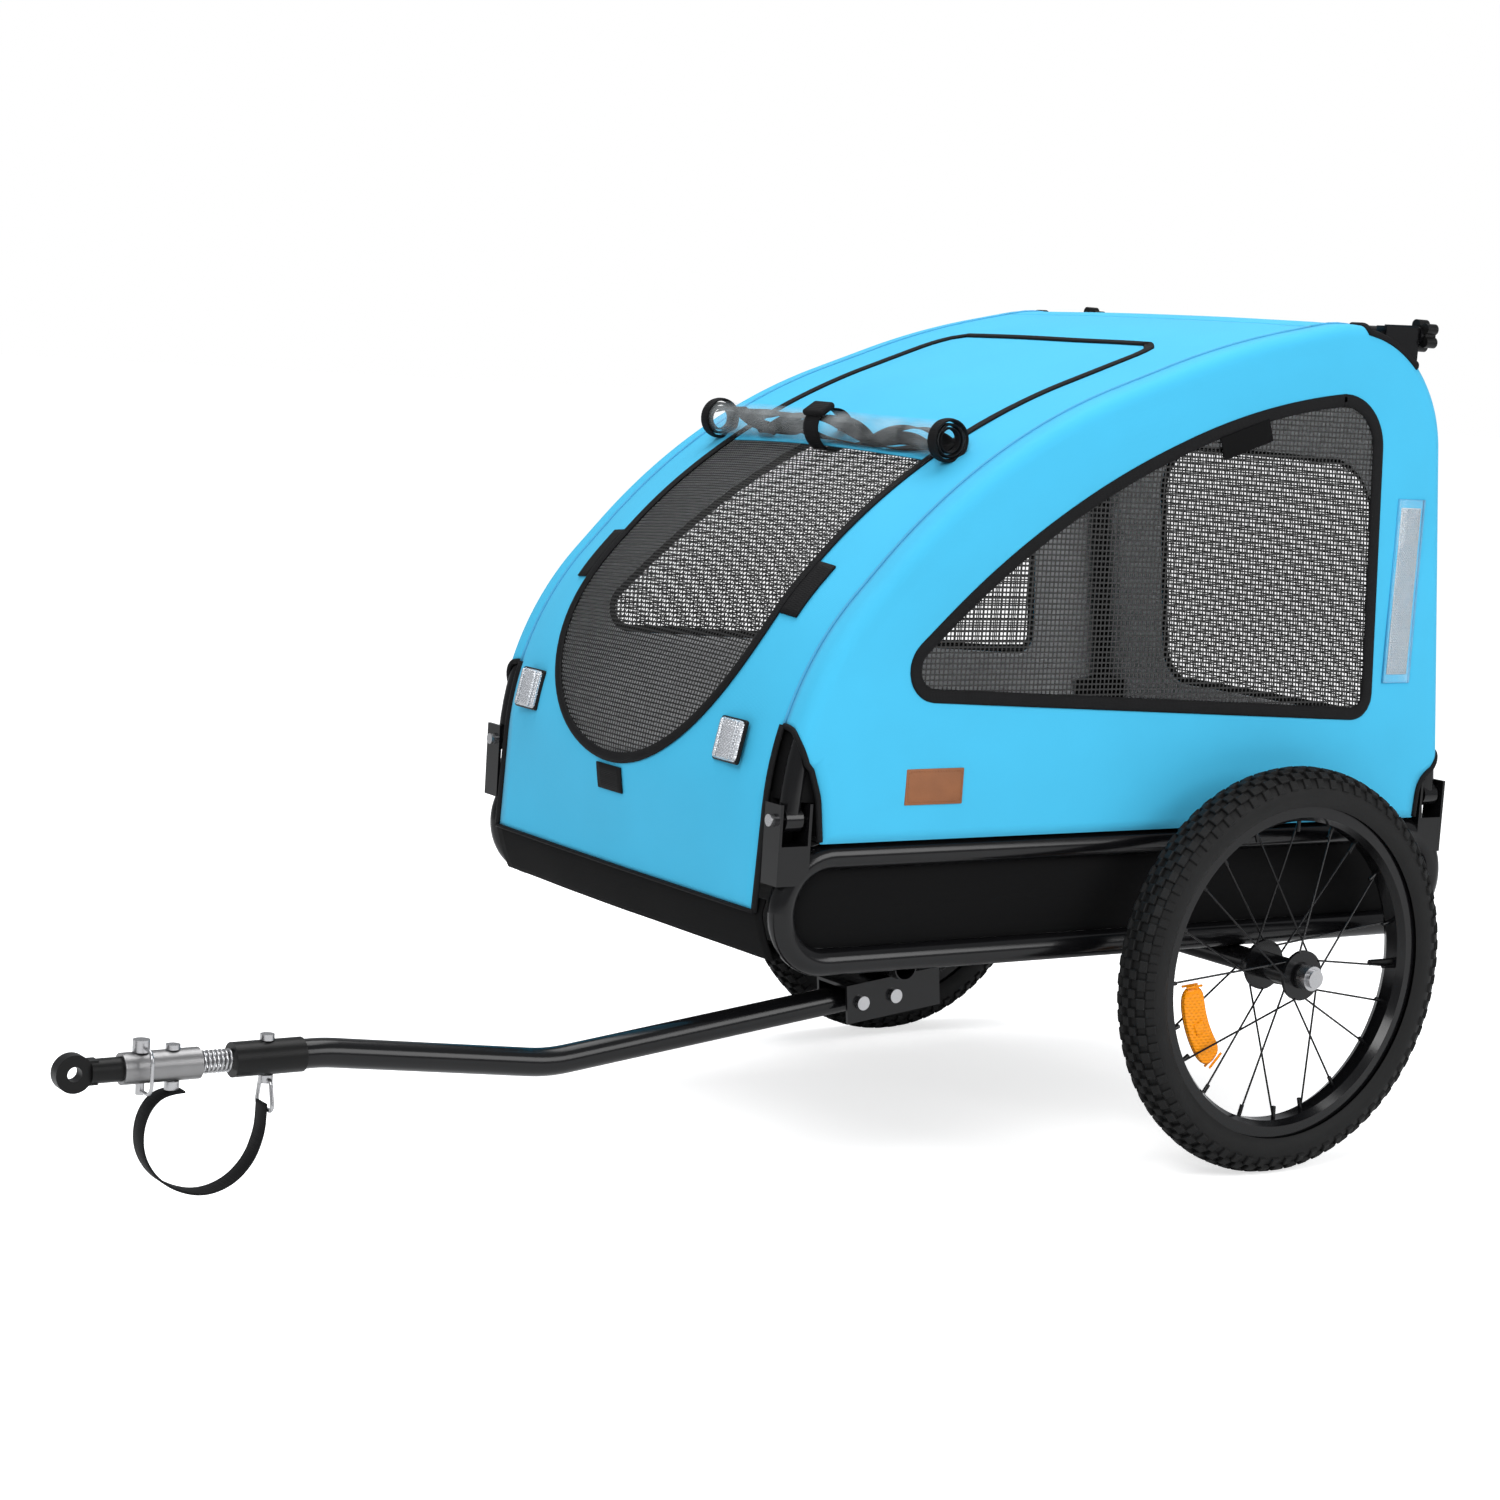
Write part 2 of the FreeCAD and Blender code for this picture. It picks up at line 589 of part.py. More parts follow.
def build_hinges():
    brackets = []
    bolts = []
    half = size("hinge_gap") / 2
    outer = half + size("hinge_ear")
    margin = size("cut_margin")
    for name, sign in SIDES:
        y = sign * size("half_gauge")
        loop = swept_round(side_loop_edges(y), RAIL_R)
        for place, foot in (("Front", hoop_points()[0][0]), ("Rear", hoop_points()[-1][0])):
            side = size("hinge_width") / 2
            low = Vector(foot.x - outer, y - side, foot.z - size("hinge_drop"))
            high = Vector(foot.x + outer, y + side, foot.z + size("hinge_rise"))
            gap_low = Vector(foot.x - half, low.y - margin, RAIL_HIGH + RAIL_R)
            gap_high = Vector(foot.x + half, high.y + margin, high.z + margin)
            block = solid_box(low, high).cut(solid_box(gap_low, gap_high)).cut(loop)
            hole_start = Vector(foot.x - 2 * outer, y, foot.z)
            hole = Part.makeCylinder(size("hinge_bolt") / 2, 4 * outer, hole_start, X_AXIS)
            ears = max(block.cut(hole).Solids, key=lambda solid: solid.Volume)
            brackets.append(shaped(name.title() + place + "Bracket", ears))
            reach = "hinge_gap + 2 * hinge_ear"
            shank = cylinder(name.title() + place + "Shank", along_x(Vector(foot.x - outer, y, foot.z)),
                             "hinge_bolt / 2", reach)
            head = cylinder(name.title() + place + "Head",
                            along_x(Vector(foot.x - outer - size("bolt_head_thick"), y, foot.z)),
                            "bolt_head", "bolt_head_thick")
            nut = cylinder(name.title() + place + "Nut", along_x(Vector(foot.x + outer, y, foot.z)),
                           "bolt_head", "bolt_head_thick")
            bolts.append(fuse(name.title() + place + "Bolt", [shank, head, nut]))
    node("hinge_brackets", together("HingeBrackets", brackets))
    node("hinge_bolts", together("HingeBolts", bolts))


def hoop_solid():
    """Bent tube with an eye on each foot and the lug that carries the spreader bar, in the middle plane."""
    points = hoop_points()
    edges = rounded_edges(points)
    lug_half = size("boss_radius")
    bar = bar_place()
    lug = solid_box(bar - Vector(size("boss_length"), lug_half, size("boss_drop")),
                    bar + Vector(-size("seat_gap"), lug_half, lug_half))
    tube = swept_round(edges, HOOP_R).fuse(lug).cut(swept_round(edges, HOOP_R - size("tube_wall")))
    for foot in (points[0][0], points[-1][0]):
        eye_half = size("foot_eye_length") / 2
        eye = Part.makeCylinder(size("foot_eye"), 2 * eye_half, foot - X_AXIS * eye_half, X_AXIS)
        hole = Part.makeCylinder(size("hinge_bolt") / 2 + size("running_gap"), 4 * HOOP_R,
                                 foot - X_AXIS * 2 * HOOP_R, X_AXIS)
        tube = tube.fuse(eye).cut(hole)
    return max(tube.Solids, key=lambda solid: solid.Volume)


def build_hoops():
    solid = hoop_solid()
    for name, sign in SIDES:
        place = turned(Y_AXIS * sign * size("half_gauge"))
        node(name + "_hoop", shaped(name.title() + "Hoop", solid, place))


# Fabric

def window_corners(y):
    """Window outline: a level sill, an upright rear edge and a front edge that follows the cover."""
    top = figure("tail_height - window_top_drop")
    crest = figure("crown_height - window_crest_drop")
    slope = figure("shoulder_height - window_slope_drop")
    return [
        (at(-size("window_front"), y, size("window_front_height")), size("window_nose_bend")),
        (at(size("window_back"), y, size("window_low")), size("window_corner")),
        (at(size("window_top_back"), y, top), size("window_top_bend")),
        (at(-size("window_crest_ahead"), y, crest), size("window_crest_bend")),
        (at(-size("window_slope_ahead"), y, slope), size("window_slope_bend")),
    ]


def notch_prism(y, depth, edge_x, foot_x, top, hem):
    """Space round a hinge that the side panel leaves open; edge_x lies outside the cover."""
    slant = size("notch_slant")
    corners = [
        (Vector(edge_x, y, hem), 0.0), (Vector(foot_x, y, hem), 0.0),
        (Vector(foot_x, y, top - slant), size("notch_bend")), (Vector(edge_x, y, top + slant), 0.0),
    ]
    return flat_face(rounded_edges(corners, closed=True)).extrude(Vector(0, depth, 0))


def side_arch(y, depth):
    """Side panel's outline under the cover's profile, with both hinge cut-outs."""
    edges = [edge.translated(Vector(0, y, 0)) for edge in rounded_edges(profile())]
    heel = edges[-1].valueAt(edges[-1].LastParameter)
    nose = edges[0].valueAt(edges[0].FirstParameter)
    arch = flat_face(edges + [Part.LineSegment(heel, nose).toShape()]).extrude(Vector(0, depth, 0))
    hem = size("side_low")
    far = 3 * size("loop_front")
    margin = size("cut_margin")
    arch = arch.cut(solid_box(at(-far, y - margin, 0), at(far, y + depth + margin, hem)))
    clear = size("hinge_gap") / 2 + size("hinge_ear") + size("notch_clear")
    front_foot = hoop_points()[0][0].x + clear
    rear_foot = hoop_points()[-1][0].x - clear
    front_edge = front_foot - 2 * clear
    rear_edge = rear_foot + 2 * clear
    arch = arch.cut(notch_prism(y, depth, front_edge, front_foot, size("front_notch_top"), hem - margin))
    return arch.cut(notch_prism(y, depth, rear_edge, rear_foot, size("rear_notch_top"), hem - margin))


def build_side_cloth(name, sign):
    cloth = size("cloth")
    low = SIDE_INNER if sign > 0 else -SIDE_INNER - cloth
    arch = side_arch(low, cloth)
    window = flat_face(rounded_edges(window_corners(low), closed=True)).extrude(Vector(0, cloth, 0))
    node(name + "_side_panel", shaped(name.title() + "SidePanel", arch.cut(window)))
    mesh_low = low + (cloth - size("netting")) / 2
    mesh_face = flat_face(rounded_edges(window_corners(mesh_low), closed=True))
    mesh = mesh_face.extrude(Vector(0, size("netting"), 0))
    node(name + "_window_mesh", shaped(name.title() + "WindowMesh", mesh))
    face = SIDE_INNER + cloth
    patch_y = face if sign > 0 else -face - size("patch_thick")
    node(name + "_reflective_strip", box(
        name.title() + "Strip", turned(at(size("strip_back"), patch_y, size("strip_low"))),
        "strip_width", "patch_thick", "strip_length"))
    if sign < 0:
        node("leather_label", box(
            "LeatherLabel", turned(at(-size("label_ahead"), patch_y, size("label_low"))),
            "label_length", "patch_thick", "label_height"))


def mesh_space(end, way):
    """Prism from the axle's plane through the front or rear cover, with round corners."""
    half = size(end + "_half_width")
    low = size(end + "_low")
    high = size(end + "_high")
    places = ((half, low), (half, high), (-half, high), (-half, low))
    foot = size(end + "_foot_bend")
    head = size(end + "_head_bend")
    bends = (foot, head, head, foot)
    corners = [(at(0, y, z), bend) for (y, z), bend in zip(places, bends)]
    return flat_face(rounded_edges(corners, closed=True)).extrude(way * 2 * size("nose_ahead"))


def build_cover():
    sheet_solid = cover_sheet(COVER_HALF, size("cloth"))
    far = 3 * size("loop_front")
    for sign in (-1, 1):
        near, wide = sorted((sign * size("notch_half_width"), sign * far))
        for first, last, top in ((-far, 0, size("front_notch_top")), (0, far, size("rear_notch_top"))):
            sheet_solid = sheet_solid.cut(solid_box(at(first, near, 0), at(last, wide, top)))
        near, wide = sorted((sign * size("knob_notch_half"), sign * far))
        notch_low = bar_place() + Vector(-size("knob_notch_ahead"), near, -size("knob_notch_drop"))
        sheet_solid = sheet_solid.cut(solid_box(notch_low, at(far, wide, far)))
    seam = size("roof_seam_back")
    front = sheet_solid.common(solid_box(at(-far, -far, 0), at(seam, far, far)))
    rear = sheet_solid.common(solid_box(at(seam, -far, 0), at(far, far, far)))
    net = cover_sheet(COVER_HALF, size("netting"))
    door = mesh_space("door", -X_AXIS)
    node("canopy_front", shaped("CanopyFront", front.cut(door)))
    node("front_mesh", shaped("FrontMesh", net.common(door)))
    back = mesh_space("rear", X_AXIS)
    node("canopy_rear", shaped("CanopyRear", rear.cut(back)))
    node("rear_mesh", shaped("RearMesh", net.common(back)))

    spot, slope = cover_x(size("roll_height"))
    outward = Vector(-math.sin(math.radians(slope)), 0, math.cos(math.radians(slope)))
    lift = size("roll_radius") + size("band_thick") + size("seat_gap")
    centre = spot + outward * lift
    roll_place = along_y(centre - Y_AXIS * size("roll_half_length"))
    node("rain_cover_roll", cylinder("RainCoverRoll", roll_place, "roll_radius", "2 * roll_half_length"))
    band_place = along_y(centre - Y_AXIS * size("strap_band") / 2)
    outside = cylinder("BandOutside", band_place, "roll_radius + band_thick", "strap_band")
    inside = cylinder("BandInside", band_place, "roll_radius", "strap_band")
    node("roll_strap", cut("RollStrap", outside, inside))

    lamps = []
    tabs = []
    for name, sign in SIDES:
        lamps.append(cover_plate(name.title() + "Lamp", sign * size("lamp_offset"), size("lamp_height"),
                                 "lamp_side", "lamp_side", "lamp_thick"))
        tabs.append(cover_plate(name.title() + "Tab", sign * size("tab_offset"), size("tab_height"),
                                "tab_length", "tab_width", "patch_thick"))
    tabs.append(cover_plate("LowTab", 0, size("low_tab_height"), "tab_width", "2 * tab_width", "patch_thick"))
    node("front_reflectors", together("FrontReflectors", lamps))
    node("door_tabs", together("DoorTabs", tabs))


def cover_plate(name, y, height, length, width, thick):
    """Flat plate lying on the outside of the front cover, its length up the slope."""
    spot, slope = cover_x(height)
    base = spot + Vector(0, y, 0)
    rotation = Rotation(Y_AXIS, -slope)
    corner = Vector(-figure(length) / 2, -figure(width) / 2, size("patch_gap"))
    return box(name, Placement(base + rotation.multVec(corner), rotation), length, width, thick)


# Spreader bar and knobs

def build_spreader():
    front = bar_place().x
    half = size("half_gauge")
    height = bar_place().z
    middle = front + size("bar_radius")
    tongues = []
    holes = []
    for name, sign in SIDES:
        disc = cylinder(name.title() + "TongueEnd", along_x(Vector(front, sign * half, height)),
                        "tongue_radius", "tongue_thick")
        start = min(sign * half, sign * (half - size("tongue_length")))
        flat = box(name.title() + "TongueFlat", turned(Vector(front, start, height - size("tongue_radius"))),
                   "tongue_thick", "tongue_length", "2 * tongue_radius")
        tongues += [disc, flat]
        hole_place = along_x(Vector(front - size("weld"), sign * half, height))
        holes.append(cylinder(name.title() + "TongueHole", hole_place,
                              "knob_screw + running_gap", "tongue_thick + 2 * weld"))
    inner = half - size("tongue_length") + size("weld")
    tube = cylinder("BarTube", along_y(Vector(middle, -inner, height)), "bar_radius",
                    "2 * ( half_gauge - tongue_length + weld )")
    body = fuse("BarFused", tongues + [tube])
    node("spreader_bar", cut("SpreaderBar", body, fuse("BarHoles", holes)))

    back = front + size("tongue_thick") + size("seat_gap")
    for name, sign in SIDES:
        base = Vector(back, sign * half, height)
        core = cylinder(name.title() + "KnobCore", along_x(base), "knob_radius", "knob_thick")
        lobes = [core]
        for index in range(int(size("knob_lobes"))):
            angle = 2 * math.pi * index / size("knob_lobes")
            offset = Vector(0, math.cos(angle), math.sin(angle)) * size("knob_radius")
            lobe_name = name.title() + "Lobe%d" % index
            lobes.append(cylinder(lobe_name, along_x(base + offset), "knob_lobe", "knob_thick"))
        screw = cylinder(name.title() + "KnobScrew", along_x(Vector(front, sign * half, height)),
                         "knob_screw", "tongue_thick + seat_gap + weld")
        node(name + "_knob", fuse(name.title() + "Knob", lobes + [screw]))


# Wheels

def build_wheel(name, sign):
    title = name.title()
    centre = at(0, sign * size("half_track"), AXLE_Z)
    place = along_y(centre)

    ring_radius = "wheel_diameter / 2 - tyre_width / 2"
    outside = primitive("Part::Torus", title + "TyreOutside", place, Radius1=ring_radius,
                        Radius2="tyre_width / 2")
    inside = primitive("Part::Torus", title + "TyreInside", place, Radius1=ring_radius,
                       Radius2="tyre_width / 2 - tyre_wall")
    shell = cut(title + "TyreShell", outside, inside)
    rim_space = cylinder(title + "RimSpace", along_y(centre - Y_AXIS * figure("rim_width / 2 + seat_gap")),
                         "rim_radius + seat_gap", "rim_width + 2 * seat_gap")
    node(name + "_tyre", cut(title + "Tyre", shell, rim_space))

    half = "rim_width / 2"
    lip = "rim_width / 2 - rim_lip"
    seat = "rim_radius - rim_well"
    floor = "rim_inner_radius + rim_lip"
    rim = [
        ("rim_inner_radius", "- rim_width / 4"), ("rim_inner_radius", "rim_width / 4"),
        (floor + " + rim_well / 2", half), ("rim_radius", half), ("rim_radius", lip), (seat, lip),
        (floor, "rim_width / 5"), (floor, "- rim_width / 5"),
        (seat, "- ( " + lip + " )"), ("rim_radius", "- ( " + lip + " )"),
        ("rim_radius", "- rim_width / 2"), (floor + " + rim_well / 2", "- rim_width / 2"),
    ]
    node(name + "_rim", turned_body(title + "Rim", rim, place))

    end = "hub_spacing / 2 + hub_end"
    race = "hub_spacing / 2 + hub_end - bearing_width"
    inner_face = "hub_spacing / 2 - flange_thick / 2"
    outer_face = "hub_spacing / 2 + flange_thick / 2"
    pocket = "bearing_radius"
    through = "axle_radius + hub_clear"

    def minus(text):
        return "- ( " + text + " )"

    hub = [
        (through, minus(race)), (through, race), (pocket, race), (pocket, end), ("hub_radius", end),
        ("hub_radius", outer_face), ("flange_radius", outer_face), ("flange_radius", inner_face),
        ("hub_radius", inner_face), ("hub_radius", minus(inner_face)), ("flange_radius", minus(inner_face)),
        ("flange_radius", minus(outer_face)), ("hub_radius", minus(outer_face)), ("hub_radius", minus(end)),
        (pocket, minus(end)), (pocket, minus(race)),
    ]
    node(name + "_hub", turned_body(title + "Hub", hub, place))

    bearings = []
    for label, start in (("Inner", -figure(end)), ("Outer", figure(race))):
        base = along_y(centre + Y_AXIS * start)
        ring = cylinder(title + label + "RaceOutside", base, "bearing_radius", "bearing_width")
        hole = cylinder(title + label + "RaceBore", base, "axle_radius + running_gap", "bearing_width")
        bearings.append(cut(title + label + "Bearing", ring, hole))
    node(name + "_bearings", together(title + "Bearings", bearings))

    spokes = []
    count = int(size("spoke_count"))
    root = size("flange_radius") - size("weld")
    tip = size("rim_inner_radius") + size("weld")
    for index in range(count):
        flange = 1 if index % 2 else -1
        lead = size("spoke_lead") if index % 4 < 2 else -size("spoke_lead")
        start_angle = 2 * math.pi * index / count
        end_angle = start_angle + math.radians(lead)
        beside = figure("flange_thick / 2 + spoke_wire / 4")
        seat = flange * size("hub_spacing") / 2 + math.copysign(beside, lead)
        start = centre + Vector(root * math.cos(start_angle), seat, root * math.sin(start_angle))
        finish = centre + Vector(tip * math.cos(end_angle), 0, tip * math.sin(end_angle))
        run = finish - start
        place_along = Placement(start, Rotation(Z_AXIS, run))
        spokes.append(cylinder(title + "Spoke%d" % index, place_along, "spoke_wire / 2", str(run.Length)))
    node(name + "_spokes", together(title + "Spokes", spokes))

    angle = math.radians(size("wheel_reflector_angle"))
    spot = centre + Vector(math.cos(angle), 0, math.sin(angle)) * size("wheel_reflector_radius")
    facing = Rotation(Y_AXIS, -math.degrees(angle) + 90)
    corner = Vector(-size("wheel_reflector_length") / 2, -size("wheel_reflector_thick") / 2,
                    -size("wheel_reflector_width") / 2)
    plate = box(title + "ReflectorPlate", Placement(spot + facing.multVec(corner), facing),
                "wheel_reflector_length", "wheel_reflector_thick", "wheel_reflector_width")
    node(name + "_wheel_reflector", plate)

    stem_start = size("rim_inner_radius") - size("valve_length")
    stem = cylinder(title + "Valve", along_x(centre + X_AXIS * stem_start), "valve_radius",
                    "valve_length - seat_gap")
    node(name + "_valve", stem)


def build_axles():
    axles = []
    for name, sign in SIDES:
        title = name.title()
        start = size("half_gauge") - 2 * RAIL_R
        hub_out = size("half_track") + figure("hub_spacing / 2 + hub_end")
        flip = 0 if sign > 0 else 180
        turn = Rotation(Z_AXIS, flip).multiply(Rotation(X_AXIS, -90))
        shaft = cylinder(title + "Shaft", Placement(at(0, sign * start, AXLE_Z), turn), "axle_radius",
                         "half_track + hub_spacing / 2 + hub_end - half_gauge + rail_diameter + seat_gap")
        cup_place = Placement(at(0, sign * (hub_out + size("seat_gap")), AXLE_Z), turn)
        cup = cylinder(title + "CupOutside", cup_place, "axle_head", "axle_cup")
        cup_floor = hub_out + figure("axle_cup - button_length + seat_gap")
        hole_place = Placement(at(0, sign * cup_floor, AXLE_Z), turn)
        hole = cylinder(title + "CupBore", hole_place, "button_radius + running_gap", "axle_cup")
        axles.append(cut(title + "Axle", fuse(title + "AxleFused", [shaft, cup]), hole))
        button_start = cup_floor + figure("button_travel + seat_gap")
        button_place = Placement(at(0, sign * button_start, AXLE_Z), turn)
        button = cylinder(title + "Button", button_place, "button_radius", "button_length")
        node(name + "_release_button", button)
    node("wheel_axles", together("WheelAxles", axles))


# Drawbar and hitch

def drawbar_tilt():
    """Slope of the drawbar's rear run, in radians."""
    return math.atan2(size("socket_height") - size("bend_height"), size("bend_ahead") - size("socket_ahead"))


def drawbar_edges():
    y = -size("drawbar_side")
    tilt = drawbar_tilt()
    back = size("socket_length") / 2 - 2 * size("socket_wall")
    rear = at(-size("socket_ahead") + back * math.cos(tilt), y, size("socket_height") + back * math.sin(tilt))
    bend = at(-size("bend_ahead"), y, size("bend_height"))
    level = at(-size("level_ahead"), y, size("hitch_height"))
    tip = at(-size("collar_ahead") - size("collar_length") + size("weld"), y, size("hitch_height"))
    return rounded_edges([(rear, 0), (bend, size("bend_radius")), (level, size("bend_radius")), (tip, 0)])


def drawbar_pin_places():
    tilt = drawbar_tilt()
    for share in (-1, 0):
        offset = share * size("pin_spacing")
        yield at(-size("socket_ahead") + offset * math.cos(tilt), -size("drawbar_side"),
                 size("socket_height") + offset * math.sin(tilt))


def build_drawbar():
    y = -size("drawbar_side")
    tilt = drawbar_tilt()
    turn = Rotation(Y_AXIS, -math.degrees(tilt))
    middle = at(-size("socket_ahead"), y, size("socket_height"))
    half_width = size("socket_width") / 2
    channel = padded_body("DrawbarChannel", "YZ_Plane", [
        ("- socket_width / 2", "- socket_depth / 2"), ("- socket_width / 2", "socket_depth / 2"),
        ("socket_width / 2", "socket_depth / 2"), ("socket_width / 2", "- socket_depth / 2"),
        ("socket_width / 2 - socket_wall", "- socket_depth / 2"),
        ("socket_width / 2 - socket_wall", "socket_depth / 2 - socket_wall"),
        ("- ( socket_width / 2 - socket_wall )", "socket_depth / 2 - socket_wall"),
        ("- ( socket_width / 2 - socket_wall )", "- socket_depth / 2"),
    ], "socket_length", Placement(middle, turn))
    pin_holes = []
    for index, spot in enumerate(drawbar_pin_places()):
        pin_holes.append(cylinder("PinHole%d" % index, along_y(spot - Y_AXIS * size("socket_width")),
                                  "pin_radius + running_gap", "2 * socket_width"))
    holes = fuse("PinHoles", pin_holes)
    node("drawbar_bracket", cut("DrawbarBracket", channel, holes))

    tube = shaped("DrawbarTubeBlank", hollow_tube(drawbar_edges(), size("drawbar_diameter")))
    bolt_x = -size("collar_ahead") - size("collar_bolt_at")
    bolt_space = cylinder("CollarBoltSpace", turned(at(bolt_x, y, 0)), "collar_bolt", "2 * hitch_height")
    node("drawbar_tube", cut("DrawbarTube", tube, fuse("DrawbarHoles", [holes, bolt_space])))

    for index, spot in enumerate(drawbar_pin_places()):
        name = ("Front", "Rear")[index]
        start = spot - Y_AXIS * half_width
        shank = cylinder(name + "PinShank", along_y(start), "pin_radius", "socket_width + pin_tail")
        head_start = start - Y_AXIS * figure("pin_head_thick + seat_gap")
        head = cylinder(name + "PinHead", along_y(head_start), "pin_head", "pin_head_thick")
        link = cylinder(name + "PinLink", along_y(start - Y_AXIS * figure("seat_gap + weld")), "pin_radius",
                        "seat_gap + 2 * weld")
        node(name.lower() + "_drawbar_pin", fuse(name + "DrawbarPin", [shank, head, link]))

    collar_place = along_x(at(-size("collar_ahead") - size("collar_length"), y, size("hitch_height")))
    outside = cylinder("CollarOutside", collar_place, "collar_radius", "collar_length")
    bore_place = along_x(at(size("weld") - figure("collar_ahead + collar_length"), y, size("hitch_height")))
    inside = cylinder("CollarInside", bore_place, "drawbar_diameter / 2", "collar_length")
    sleeve = cut("CollarTube", outside, inside)
    node("drawbar_collar", cut("DrawbarCollar", sleeve, bolt_space))

    reach = size("collar_radius")
    bolt_low = size("hitch_height") - reach - size("collar_foot")
    shank = cylinder("CollarBoltShank", turned(at(bolt_x, y, bolt_low)), "collar_bolt",
                     "2 * collar_radius + collar_foot")
    cap_place = turned(at(bolt_x, y, size("hitch_height") + reach))
    cap = cylinder("CollarBoltCap", cap_place, "2 * collar_bolt", "collar_cap")
    foot = cylinder("CollarBoltFoot", turned(at(bolt_x, y, bolt_low)), "2 * collar_bolt", "collar_foot")
    eye_z = bolt_low + size("collar_foot") / 2
    eye = cylinder("CollarBoltEye", along_y(at(bolt_x, y - size("ring_width"), eye_z)),
                   "ring_wire / 2 + running_gap", "2 * ring_width")
    node("collar_bolt", cut("CollarBolt", fuse("CollarBoltFused", [shank, cap, foot]), eye))

    ring_low = eye_z - size("ring_drop")
    half = size("ring_width") / 2
    neck = size("ring_neck") / 2
    places = ((-half, ring_low), (half, ring_low), (neck, eye_z), (-neck, eye_z))
    corners = [(at(bolt_x, y + side, height), size("ring_bend")) for side, height in places]
    ring = swept_round(rounded_edges(corners, closed=True), size("ring_wire") / 2)
    node("hanging_ring", shaped("HangingRing", ring))


def biarc_edges(start, heading, finish, leaving):
    """Two tangent arcs between two points with given directions."""
    chord = finish - start
    both = heading + leaving
    spread = 2 * (1 - heading.dot(leaving))
    along = chord.dot(both)
    reach = (-along + math.sqrt(along * along + spread * chord.dot(chord))) / spread
    first = start + heading * reach
    second = finish - leaving * reach
    middle = (first + second) / 2
    edges = []
    for begin, corner, end in ((start, first, middle), (middle, second, finish)):
        weight = (end - begin).Length / 2 / (corner - begin).Length
        summit = (begin + corner * (2 * weight) + end) / (2 + 2 * weight)
        edges.append(Part.Arc(begin, summit, end).toShape())
    return edges


def spring_edges():
    """Coils along -X from the collar's face to the sleeve's, with straight square ends."""
    y = -size("drawbar_side")
    z = size("hitch_height")
    radius = size("spring_radius")
    wire = size("spring_wire")
    start_x = -size("collar_ahead") - size("collar_length") - size("seat_gap")
    end_x = start_x - size("spring_length") + 2 * size("seat_gap")
    lead = size("spring_lead")
    entry_turn = math.radians(size("spring_entry"))
    turns = size("spring_turns")
    first_x = start_x - lead
    last_x = end_x + lead
    steps = int(round(turns * 4))
    pitch = (last_x - first_x) / turns
    points = []
    headings = []
    for index in range(steps + 1):
        angle = index * math.pi / 2
        place_x = first_x + pitch * index / 4
        points.append(at(place_x, y + radius * math.cos(angle), z + radius * math.sin(angle)))
        heading = Vector(pitch / (2 * math.pi), -radius * math.sin(angle), radius * math.cos(angle))
        headings.append(heading.normalize())
    axial = Vector(-1, 0, 0)
    entry = at(start_x - wire, y + radius * math.cos(-entry_turn), z + radius * math.sin(-entry_turn))
    exit_angle = steps * math.pi / 2 + entry_turn
    leave = at(end_x + wire, y + radius * math.cos(exit_angle), z + radius * math.sin(exit_angle))
    edges = [Part.LineSegment(entry - axial * wire, entry).toShape()]
    edges += biarc_edges(entry, axial, points[0], headings[0])
    for index in range(steps):
        edges += biarc_edges(points[index], headings[index], points[index + 1], headings[index + 1])
    edges += biarc_edges(points[-1], headings[-1], leave, axial)
    edges.append(Part.LineSegment(leave, leave + axial * wire).toShape())
    return edges


def least_gap(edges, wire):
    """Smallest clear distance between parts of a wound wire that are not neighbours along it."""
    points = []
    travel = 0.0
    for edge in edges:
        for index in range(12):
            share = index / 12
            span = edge.LastParameter - edge.FirstParameter
            points.append((travel + share * edge.Length, edge.valueAt(edge.FirstParameter + share * span)))
        travel += edge.Length
    best = travel
    for index, (run, point) in enumerate(points):
        for later_run, later in points[index + 1:]:
            if later_run - run > 4 * wire:
                best = min(best, (later - point).Length)
    return best - wire


